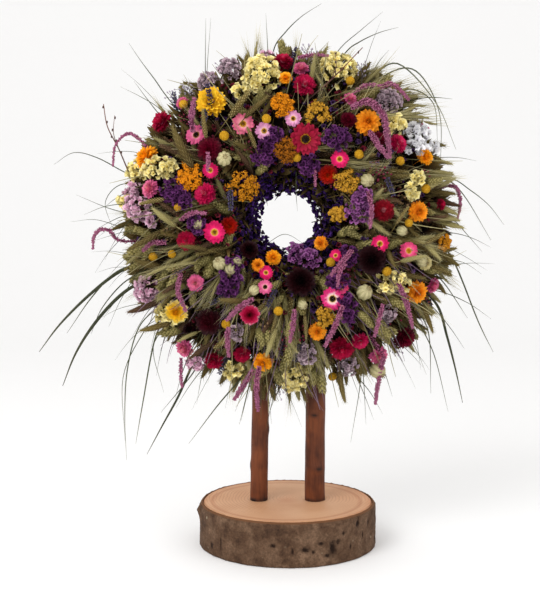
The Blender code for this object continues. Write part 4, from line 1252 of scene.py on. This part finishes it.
daisy_bracts = [u_range(bract, 0.0, 0.62) for bract in (
    leaf(0.46, 0.10, 0.06, widest=0.68, base=0.40, tip=0.34, fullness=2.6),
    leaf(0.40, 0.14, 0.12, widest=0.62, base=0.40, tip=0.24, fullness=2.4))]
disc_beads = [beads_at(value) for value in (0.70, 0.80, 0.90, 0.98)]
daisy_colours = {
    "pink_gold": [(0, "#ECC4C4"), (0.22, "#E48C9C"), (0.6, "#D2587E"), (0.68, "#EFC03A"), (0.82, "#E2A010"),
                  (0.95, "#7A4E12")],
    "pale_pink": [(0, "#F4DDE4"), (0.25, "#E6A9C8"), (0.6, "#D282B4"), (0.68, "#EFC03A"), (0.85, "#DFA010"),
                  (0.95, "#3C2212")],
    "red_dark": [(0, "#7A051C"), (0.25, "#8A0826"), (0.6, "#A00E36"), (0.68, "#D89A1A"), (0.76, "#4A2A0C"),
                 (0.95, "#1E1008")],
    "rose_gold": [(0, "#F6CBB8"), (0.22, "#EE5C8A"), (0.6, "#DC3C78"), (0.68, "#F4C63C"), (0.85, "#E9A814"),
                  (0.95, "#C98A12")],
    "rose_dark": [(0, "#F0BCC6"), (0.25, "#EA749E"), (0.6, "#D9568A"), (0.68, "#D89A2A"), (0.76, "#3A1E10"),
                  (0.95, "#160B08")],
    "white_magenta": [(0, "#FBF0DA"), (0.22, "#F6CBD2"), (0.4, "#E8428A"), (0.6, "#CE1468"),
                      (0.68, "#F6C62E"), (0.8, "#3A200E"), (0.95, "#1A0E08")],
    "magenta_gold": [(0, "#F7A8B4"), (0.2, "#E81C6C"), (0.6, "#CA0C58"), (0.68, "#F6D24A"), (0.85, "#F0BC20"),
                     (0.95, "#7A4A10")],
}
daisy_finishes = {
    colour: plant_finish("paper_daisy_bracts_" + colour, stops, shades=(0.86, 1.08), grain=0.0009,
                         relief=0.00012, mottle=0.07, Roughness=0.6, Specular_IOR_Level=0.16)
    for colour, stops in daisy_colours.items()
}
daisy_whorls = [(2, 0.26, 0.74, 18), (11, 0.26, 0.68, 17), (24, 0.25, 0.54, 15)]
for number, (colour, clock, distance, across, tip, *node) in enumerate(daisies, 1):
    rng = random.Random(700 + number)
    radius = across / 1950
    stand = head_matrix(clock, distance, tip, rng.uniform(-14, 14)) @ Matrix.Scale(radius, 4)
    parts = [(stem_shape, stand @ sized((0, 0, -0.05), 0.035, 0.035, 0.024 / radius), 0.3)]
    for at, (tilt, reach, length, count) in enumerate(daisy_whorls):
        for petal in range(count):
            spin = 2 * math.pi * (petal + 0.5 * (at % 2)) / count + rng.gauss(0, 0.07)
            placed = Matrix.Rotation(spin, 4, "Z") @ Matrix.Translation((0, reach, 0.015 * at))
            placed = placed @ Matrix.Rotation(math.radians(tilt + rng.gauss(0, 5)), 4, "X")
            parts.append((rng.choice(daisy_bracts),
                          stand @ placed @ Matrix.Scale(length * rng.uniform(0.93, 1.06), 4), rng.random()))
    for at in range(90):
        out = 0.31 * math.sqrt((at + 0.5) / 90)
        turn = at * golden_angle
        ring = 0 if out > 0.25 else 1 if out > 0.20 else 2 if out > 0.12 else 3
        place = Vector((out * math.cos(turn), out * math.sin(turn), 0.16 - 0.9 * out * out))
        parts.append((disc_beads[ring], stand @ sized(place, 0.030, 0.030, 0.045), rng.random()))
    new_piece(f"paper_daisy_{number:02d}_{colour}", gathered(parts), daisy_finishes[colour],
              "wreath", node)


# ---------------------------------------------------------------------------------------
# Yarrow: flat-topped plates of hundreds of tiny round florets in small clusters, mustard to
# deep orange, on stiff branching stems.

yarrow_colours = {
    "gold": [(0, "#5E3A0C"), (0.3, "#985E0E"), (0.5, "#C8841C"), (1, "#DA9C34")],
    "orange": [(0, "#6E3E08"), (0.3, "#AE640C"), (0.5, "#DE8A16"), (1, "#EA9E2A")],
    "mustard": [(0, "#5E4410"), (0.3, "#946A18"), (0.5, "#C49230"), (1, "#D8AA4C")],
    "rust": [(0, "#3E200A"), (0.3, "#6E3E10"), (0.5, "#9E5E16"), (1, "#BC7C20")],
}
yarrow_finishes = {
    colour: plant_finish("yarrow_florets_" + colour, stops, shades=(0.66, 1.12), grain=0.0008, relief=0.0003,
                         mottle=0.16, Roughness=0.9, Specular_IOR_Level=0.10)
    for colour, stops in yarrow_colours.items()
}
# Two tones of floret: the darker one rings each cluster's edge as painted shade in the gaps between clusters.
yarrow_beads_with_painted_edge_shade = [beads_at(0.3), beads_at(0.5)]
for number, (colour, clock, distance, across, tip, *node) in enumerate(yarrows, 1):
    rng = random.Random(800 + number)
    radius = across / 2000
    stand = head_matrix(clock, distance, tip)
    parts = []
    clusters = 26 if across < 38 else 34
    for cluster in range(clusters):
        if rng.random() < 0.10:
            continue
        out = radius * 0.88 * math.sqrt((cluster + 0.5) / clusters) * rng.uniform(0.82, 1.15)
        turn = cluster * golden_angle + number + rng.gauss(0, 0.16)
        middle = Vector((out * math.cos(turn), out * math.sin(turn),
                         radius * (0.40 - 0.50 * (out / radius) ** 2)))
        middle.z += rng.uniform(-0.0030, 0.0022)
        size = radius * rng.uniform(0.20, 0.29)
        foot, top = stand @ Vector((0, 0, -0.026)), stand @ middle
        parts.append(stem_between(foot, top, 0.0006))
        for at in range(32):
            spread = size * math.sqrt(rng.random())
            spin = rng.uniform(0, 2 * math.pi)
            place = middle + Vector((spread * math.cos(spin), spread * math.sin(spin),
                                     0.75 * size * (1 - (spread / size) ** 2)))
            breadth = rng.uniform(0.0007, 0.0013)
            floret = yarrow_beads_with_painted_edge_shade[0 if spread > 0.82 * size else 1]
            parts.append((floret, stand @ sized(place, breadth, breadth, breadth), rng.random()))
    new_piece(f"yarrow_{number:02d}_{colour}", gathered(parts), yarrow_finishes[colour],
              "wreath", node)


# ---------------------------------------------------------------------------------------
# Billy buttons: hard round heads 11 to 14 mm across, a skin of tiny yellow florets in a honeycomb,
# each on a bare wiry stem.

billy = plant_finish("billy_button_florets", [(0.0, "#A87816"), (0.5, "#D0A02A"), (1.0, "#E2B848")],
                     shades=(0.84, 1.12), grain=0.0008, relief=0.0005, mottle=0.2, Roughness=0.9,
                     Specular_IOR_Level=0.10)
bm = bmesh.new()
bmesh.ops.create_icosphere(bm, subdivisions=4, radius=1)
for corner in bm.verts:
    corner.co *= 1.04 - 0.22 * noise.voronoi(corner.co * 7.5)[0][0]
# Colour follows the height of the skin, so the hollows between the florets are painted darker: painted shade.
chart(bm, lambda corner: min(0.98, max(0.02, (corner.co.length - 0.92) * 9)))
billy_shape = shape(bm)
rng = random.Random(900)
parts = []
for clock, distance in buttons:
    radius = rng.uniform(0.0056, 0.0068)
    stand = head_matrix(clock, distance) @ Matrix.Translation((0, 0, 0.003))
    parts.append((billy_shape, stand @ Matrix.Rotation(rng.uniform(0, 6), 4, "X") @ Matrix.Scale(radius, 4),
                  rng.random()))
    parts.append((stem_shape, stand @ Matrix.Diagonal((0.0008, 0.0008, 0.034, 1)), 0.0))
new_piece("billy_buttons", gathered(parts), billy, "wreath")


# ---------------------------------------------------------------------------------------
# Seed pods: love-in-a-mist and poppy, papery ribbed capsules 13 to 22 mm across with a small
# crown, dried beige-green.

pod_finish = plant_finish(
    "dried_seed_pods",
    [(0.0, "#5E5C36"), (0.35, "#A39C6E"), (0.7, "#C4BA8E"), (0.9, "#8A7650"), (1.0, "#5E4E34")],
    shades=(0.72, 1.12), relief=0.0003, Roughness=0.75, Specular_IOR_Level=0.16)
profile = [(0.0, -1.0)]
profile += [(math.cos(turn) * 0.95, math.sin(turn)) for turn in np.linspace(-1.35, 1.25, 12)]
profile += [(0.18, 1.04), (0.0, 1.0)]
bm = turned(profile, 48)


def rib(corner):
    """How far a vertex stands on one of the eight ribs, from 0 to 1."""
    return abs(math.cos(4 * math.atan2(corner.co.y, corner.co.x)))


chart(bm, lambda corner: min(0.98, max(0.02, 0.30 + corner.co.z * 0.28 + 0.22 * rib(corner))))
for corner in bm.verts:
    corner.co.xy *= 0.90 + 0.16 * rib(corner)
pod_shape = shape(bm)
crown_leaf = u_range(leaf(0.30, 0.1, 0.5, widest=0.4), 0.85, 1.0)
parts = []
rng = random.Random(950)
for clock, distance, across in pods:
    radius = across / 2000
    stand = head_matrix(clock, distance, rng.uniform(-10, 45),
                        rng.uniform(-35, 35)) @ Matrix.Diagonal((radius, radius, radius * 1.12, 1))
    shade = rng.random()
    parts.append((pod_shape, stand, shade))
    parts.append((stem_shape, stand @ sized((0, 0, -0.8), 0.08, 0.08, 0.028 / radius), 0.3))
    for at in range(8):
        crown = Matrix.Rotation(2 * math.pi * at / 8, 4, "Z") @ Matrix.Translation((0, 0.10, 1.0))
        parts.append((crown_leaf, stand @ crown @ Matrix.Rotation(math.radians(25), 4, "X")
                      @ Matrix.Scale(0.46, 4), shade))
new_piece("seed_pods", gathered(parts), pod_finish, "wreath", ("seed_pod_lower_left",))


# ---------------------------------------------------------------------------------------
# Lavender: grey-blue spikes 40 to 50 mm long, whorls of small pointed calyces on a straw.

lavender = plant_finish("dried_lavender", [(0.0, "#5A5A40"), (0.2, "#352E44"), (0.6, "#4A4260"),
                                           (1.0, "#7C7492")], shades=(0.6, 1.15), grain=0.001, relief=0.0003,
                        mottle=0.2, Roughness=0.9, Specular_IOR_Level=0.10)
calyx = u_range(leaf(0.5, 0.6, 0.1, widest=0.6, base=0.3, tip=0.2, rows=3), 0.3, 1.0)
rng = random.Random(970)
parts = [(stem_shape, Matrix.Rotation(math.radians(-90), 4, "X") @ sized((0, 0, 0.95), 0.012, 0.012, 0.95),
          0.5)]
for whorl in range(8):
    s = 0.40 + 0.56 * whorl / 7 + rng.uniform(-0.015, 0.015)
    for at in range(7):
        turn = 2 * math.pi * at / 7 + whorl
        out = Vector((math.cos(turn), 0, math.sin(turn)))
        root = Vector((0, s + rng.uniform(-0.02, 0.02), 0)) + out * 0.010
        length = rng.uniform(0.07, 0.13) * (1.15 - 0.4 * whorl / 7)
        parts.append((calyx, lying(root, out * rng.uniform(0.5, 1.4) + Vector((0, 1, 0)), out, length, 0.10),
                      0.5))
lavender_shape = shape(gathered(parts))
parts = []
# clock angle, distance in millimetres, heading of the tip, and how far it stands in front in metres
for clock, distance, heading, ahead in ((328, 198, 350, 0.016), (317, 231, 355, 0.0), (176, 187, 200, 0.004),
                                        (119, 226, 170, 0.0), (204, 226, 210, 0.0), (192, 112, 205, 0.004),
                                        (2, 226, 20, 0.0), (321, 183, 190, 0.004), (290, 86, 180, 0.004),
                                        (182, 176, 195, 0.0), (72, 150, 160, 0.002), (222, 150, 240, 0.0)):
    middle, facing = head_place(clock, distance)
    way = away_from_middle(heading) + facing * 0.12
    root = middle + facing * ahead - way * 0.030
    parts.append((lavender_shape, lying(root, way, facing, rng.uniform(0.040, 0.050)), rng.random()))
new_piece("lavender_spikes", gathered(parts), lavender, "wreath")


# ---------------------------------------------------------------------------------------
# Amaranth: soft ropes of tiny seed clusters, 5 to 10 mm thick, faded to a dusty magenta. They
# hang and loop over the edge wherever their own weight takes them.

amaranth = plant_finish("faded_amaranth", [(0.0, "#561E38"), (0.5, "#8A4664"), (1.0, "#AE6C8A")],
                        shades=(0.60, 1.25), grain=0.0015, relief=0.0004, mottle=0.2, Roughness=0.95,
                        Specular_IOR_Level=0.08)
# half the thickness and the route, in millimetres
tails = [
    (3, [(-195, -28, 426), (-232, -28, 428), (-244, -30, 440), (-257, -31, 443), (-266, -31, 433),
         (-268, -31, 415)], "amaranth_tail_left"),
    (2.8, [(190, -34, 496), (222, -34, 502), (230, -36, 497), (234, -37, 484), (233, -37, 470),
           (230, -37, 457)], "amaranth_tail_right"),
    (4, [(110, -44, 300), (128, -44, 272), (127, -47, 258), (124, -48, 240), (121, -48, 222),
         (119, -48, 204)], "amaranth_tail_bottom"),
    (2.4, [(-190, -50, 548), (-204, -52, 566), (-222, -52, 576), (-240, -52, 560), (-244, -50, 530)]),
    (4.4, [(-132, -90, 578), (-134, -96, 602), (-130, -94, 626)]),
    (5, [(88, -88, 612), (112, -98, 620), (132, -100, 602), (138, -100, 574), (142, -94, 542)]),
    (4.4, [(112, -98, 580), (126, -104, 560), (140, -100, 542)]),
    (3.6, [(128, -66, 640), (146, -70, 644), (168, -64, 622)]),
    (3.2, [(90, -70, 632), (108, -74, 642), (130, -68, 642)]),
    (4, [(78, -100, 336), (66, -104, 306), (52, -100, 278)]),
    (3.6, [(154, -88, 370), (166, -94, 342), (176, -88, 304)]),
    (3.8, [(10, -98, 330), (7, -106, 308), (3, -104, 284)]),
    (2.8, [(-150, -66, 262), (-151, -70, 242), (-149, -68, 220)]),
    (4.2, [(-48, -106, 346), (-68, -110, 334), (-87, -106, 315)]),
    (3.8, [(-84, -104, 306), (-85, -106, 288), (-83, -100, 264)]),
    (3.6, [(-150, -92, 382), (-154, -96, 356), (-143, -94, 328)]),
    (4.2, [(-40, -82, 250), (-44, -88, 224), (-42, -84, 186)]),
    (3.8, [(90, -104, 414), (76, -108, 398), (60, -104, 378)]),
    (3, [(82, -106, 396), (72, -110, 382), (70, -106, 362)]),
    (3.4, [(-150, -95, 456), (-134, -100, 466), (-114, -98, 465)]),
    (2.8, [(14, -62, 680), (34, -66, 684), (56, -60, 683)]),
    (3.2, [(112, -98, 496), (117, -102, 472), (115, -100, 444)]),
    (2.4, [(36, -80, 534), (38, -84, 518), (38, -80, 502)]),
    (3, [(-112, -100, 550), (-111, -104, 538), (-112, -102, 524)]),
    (3.4, [(134, -98, 338), (128, -102, 316), (122, -96, 292)]),
    (3.6, [(-170, -82, 424), (-190, -80, 424), (-204, -72, 412)]),
    (4.4, [(-48, -62, 246), (-62, -64, 224), (-76, -60, 202)]),
]


# the share of the rope's length times its thickness that one seed cluster covers, in square metres
skin_of_a_seed = 0.0000007


def in_metres(route):
    """A route given in millimetres, as vectors in metres."""
    return [Vector(point) / 1000 for point in route]


def rope(route, thickness, rng):
    """The parts of one tail: a thin core and the seed clusters round it."""
    path = smooth_path(route, 8)
    last = len(path) - 1
    taper = [thickness * (0.50 + 0.50 * math.sin(math.pi * min(1, 0.2 + 0.8 * at / last)))
             for at in range(last + 1)]
    parts = [(drawn_out(path, [size * 0.6 for size in taper]), Matrix(), 0.2)]
    length = sum((after - before).length for before, after in zip(path, path[1:]))
    for _ in range(int(length * thickness / skin_of_a_seed)):
        spot = rng.random() * (len(path) - 1.001)
        index = int(spot)
        place = path[index].lerp(path[index + 1], spot - index)
        ahead = (path[index + 1] - path[index]).normalized()
        out = Vector((rng.gauss(0, 1), rng.gauss(0, 1), rng.gauss(0, 1)))
        out = (out - ahead * out.dot(ahead)).normalized()
        size = rng.uniform(0.0006, 0.0011)
        place = place + out * taper[index] * rng.uniform(0.5, 1.05)
        parts.append((bud, Matrix.Translation(place) @ Matrix.Scale(size, 4), rng.random()))
    return parts


loose_tails = []
for number, (thickness, route, *node) in enumerate(tails, 1):
    rng = random.Random(1000 + number)
    if node:
        parts = rope(in_metres(route), thickness / 1000, rng)
        new_piece(node[0] + "_rope", gathered(parts), amaranth, "wreath", node)
    else:
        loose_tails += rope([set_forward(point) for point in in_metres(route)], thickness / 1000, rng)
new_piece("amaranth_ropes_on_the_front", gathered(loose_tails), amaranth, "wreath")


# ---------------------------------------------------------------------------------------
# Grass blades: single leaves and fine stems that stand well out of the wreath, each rooted
# in a bunch and curved by its own weight. Long ones are dark and narrow, fine ones olive.

blade_finish = plant_finish("dried_grass_blades", [(0.0, "#4E5236"), (0.5, "#454A36"), (1.0, "#66664C")],
                            shades=(0.55, 1.25), grain=0.004, relief=0.0002, mottle=0.2, Roughness=0.7,
                            Specular_IOR_Level=0.16)
# the width in millimetres, the shade, and the route in millimetres
blades = [
    (5.6, 0.1, [(-185, -20, 402), (-232, -22, 385), (-275, -26, 352), (-315, -28, 312), (-344, -28, 274)],
     "grass_blade_left_long"),
    (6, 0, [(-185, -34, 380), (-226, -36, 356), (-262, -42, 318), (-290, -44, 275), (-309, -44, 229)],
     "grass_blade_left_low"),
    (1.8, 0.2, [(-180, -20, 500), (-226, -20, 522), (-262, -22, 541), (-294, -22, 548), (-322, -20, 532)],
     "grass_blade_left_upper"),
    (1.8, 0.4, [(-130, -14, 580), (-166, -14, 624), (-183, -16, 648), (-201, -17, 672), (-218, -18, 697)],
     "grass_blade_top_left"),
    (2, 0.3, [(-22, -14, 640), (-20, -14, 688), (-4, -16, 712), (18, -17, 733), (45, -18, 750)],
     "grass_blade_top"),
    (2, 0.3, [(50, -14, 640), (78, -16, 684), (98, -18, 699), (124, -19, 711), (150, -20, 718)],
     "grass_blade_top_right"),
    (1.8, 0.5, [(185, -18, 505), (224, -20, 512), (250, -22, 497), (276, -23, 476), (297, -24, 449)],
     "grass_blade_right_arc"),
    (4.6, 0, [(175, -24, 370), (206, -26, 338), (219, -30, 296), (231, -32, 250), (241, -33, 204)],
     "grass_blade_bottom_right"),
    (4.4, 0, [(-100, -20, 300), (-128, -22, 264), (-152, -26, 212), (-174, -28, 172), (-196, -29, 131)],
     "grass_blade_bottom_left"),
    (2.2, 0.9, [(-175, -26, 340), (-206, -26, 308), (-222, -30, 250), (-226, -31, 185), (-224, -31, 123)],
     "grass_blade_bottom_left_thin"),
    (1.4, 0.4, [(-180, -30, 490), (-225, -30, 505), (-250, -32, 480), (-238, -34, 440)]),
    (1.8, 0.6, [(-140, -20, 560), (-179, -20, 603), (-211, -20, 645)]),
    (1.8, 0.3, [(-100, -20, 600), (-112.5, -20, 640), (-112.5, -20, 730)]),
    (1.4, 0.5, [(-100, -20, 600), (-111, -25, 640), (-105, -30, 729)]),
    (1.4, 0.3, [(40, -20, 640), (68.6, -20, 687), (100, -20, 715), (129, -20, 739)]),
    (2.6, 0.8, [(80, -40, 600), (108, -40, 641), (147, -40, 666), (199, -40, 614), (227, -40, 551)]),
    (2.4, 0.7, [(80, -40, 600), (130, -40, 650), (172, -40, 656), (204, -40, 600), (206, -40, 520)]),
    (2.2, 0.7, [(120, -40, 590), (157, -40, 631), (195, -40, 614), (202, -40, 561)]),
    (2.2, 0.4, [(110, -30, 600), (150, -30, 614), (190, -30, 622), (223, -30, 620)]),
    (1.6, 0.3, [(120, -30, 620), (150, -30, 636), (185, -30, 644)]),
    (2.4, 0.4, [(180, -20, 500), (213, -20, 512), (241, -20, 491), (280, -20, 428)]),
    (2.8, 0.5, [(190, -30, 430), (223, -30, 407), (262, -30, 316), (283, -30, 274)]),
    (2.2, 0.6, [(180, -20, 400), (214, -20, 371), (249, -20, 320)]),
    (2, 0.3, [(170, -40, 340), (192, -40, 302), (196, -40, 218)]),
    (1.8, 0.6, [(170, -40, 330), (199, -40, 274), (220, -40, 193)]),
    (1.8, 0.7, [(90, -30, 290), (101, -30, 246), (87, -30, 148)]),
    (1.6, 0.4, [(95, -30, 290), (103.6, -30, 243), (108, -30, 173)]),
    (2.4, 0.7, [(-45, -45, 270), (-53.2, -45, 232), (-67, -45, 176)]),
    (2.8, 0.4, [(-45, -40, 280), (-60, -40, 246), (-98, -40, 200), (-137, -40, 148)]),
    (1.6, 0.9, [(-170, -30, 340), (-199, -30, 302), (-228, -30, 239), (-226, -30, 150)]),
    (2.6, 0.8, [(-160, -40, 330), (-182, -40, 295), (-200, -40, 204), (-210, -40, 148)]),
    (1.4, 0.9, [(-160, -30, 320), (-186, -30, 281), (-172, -30, 218)]),
    (1.4, 0.5, [(-190, -30, 460), (-240, -30, 470), (-290, -30, 490)]),
    (2.2, 0.1, [(-110, -30, 280), (-135, -30, 240), (-176, -30, 190)]),
    (3, 0.3, [(-190, -30, 400), (-235, -30, 385), (-270, -30, 350), (-305, -30, 300)]),
    (2.2, 0.1, [(-190, -40, 390), (-225, -40, 370), (-255, -40, 335), (-270, -40, 300)]),
    (1.1, 0.7, [(10, -60, 520), (10, -60, 490), (12, -60, 467)]),
    (1, 0.4, [(-28, -70, 425), (-4, -72, 436.5), (24, -70, 421)]),
]


def blade(route, width, shade):
    """One flat blade that narrows to its tip."""
    path = smooth_path(route, 7)
    last = len(path) - 1
    widths = [width / 2 * (0.7 + 0.3 * math.sin(math.pi * at / last)) * (1 - 0.78 * (at / last) ** 2.2)
              for at in range(last + 1)]
    return drawn_out(path, widths, [max(0.0003, size * 0.4) for size in widths]), Matrix(), shade


loose_blades = []
for width, shade, route, *node in blades:
    part = blade(in_metres(route), width / 1000, shade)
    if node:
        name = node[0].replace("grass_blade", "long_blade")
        new_piece(name, gathered([part]), blade_finish, "wreath", node)
    else:
        loose_blades.append(part)
rng = random.Random(1100)
# the strands keep within these places, in metres
leftmost, rightmost, highest, innermost = -0.33, 0.285, 0.735, 0.225
strands = 0
while strands < 60:
    angle = rng.choice((rng.uniform(0, 360), rng.uniform(90, 270)))
    place, off = on_bunch(angle, rng.uniform(-10, 45), 0.85)
    ahead = away_from_middle(angle) + along_ring(angle) * rng.gauss(0, 0.35)
    ahead = (ahead + Vector((0, rng.uniform(-0.2, 0.15), 0))).normalized()
    route = [place]
    stride = rng.uniform(0.022, 0.036)
    for step in range(3):
        route.append(route[-1] + ahead * stride)
        ahead = (ahead + Vector((0, 0, -rng.uniform(0.05, 0.40)))).normalized()
    tip = route[-1]
    if not leftmost <= tip.x <= rightmost or tip.z > highest or distance_out(tip) < innermost:
        continue
    if near_a_stick(*route):
        continue
    loose_blades.append(blade(route, rng.uniform(0.0008, 0.0016), rng.random()))
    strands += 1
new_piece("loose_blades_and_strands", gathered(loose_blades), blade_finish, "wreath")


# ---------------------------------------------------------------------------------------
# Twigs: two birch twigs, red-brown, with small dark buds, bound in at the edge.

twig_finish = plant_finish("birch_twig_bark", [(0.0, "#3E2018"), (0.5, "#5E3426"), (1.0, "#7C4A38")],
                           shades=(0.7, 1.1), relief=0.0002, mottle=0.2, Roughness=0.6)
parts = []
for width, route in (
    (2.4, [(-185, -40, 480), (-213, -40, 515), (-230, -40, 552), (-245, -40, 582), (-250, -40, 612)]),
    (1.4, [(-230, -40, 552), (-236, -45, 572), (-234, -48, 596)]),
    (2.6, [(20, -70, 610), (56, -76, 640), (98, -60, 684)]),
    (1.4, [(56, -76, 640), (62, -80, 658), (60, -76, 676)]),
):
    path = smooth_path(in_metres(route), 6)
    last = len(path) - 1
    taper = [width / 2000 * (1 - 0.5 * at / last) for at in range(last + 1)]
    parts.append((drawn_out(path, taper), Matrix(), 0.5))
    for at in range(3, last, 4):
        sideways = Vector((0.0012 if at % 8 == 3 else -0.0012, -0.0006, 0.0008))
        parts.append((beads_at(0.05), sized(path[at] + sideways, 0.0012, 0.0012, 0.0022), 0.4))
new_piece("birch_twigs", gathered(parts), twig_finish, "wreath")
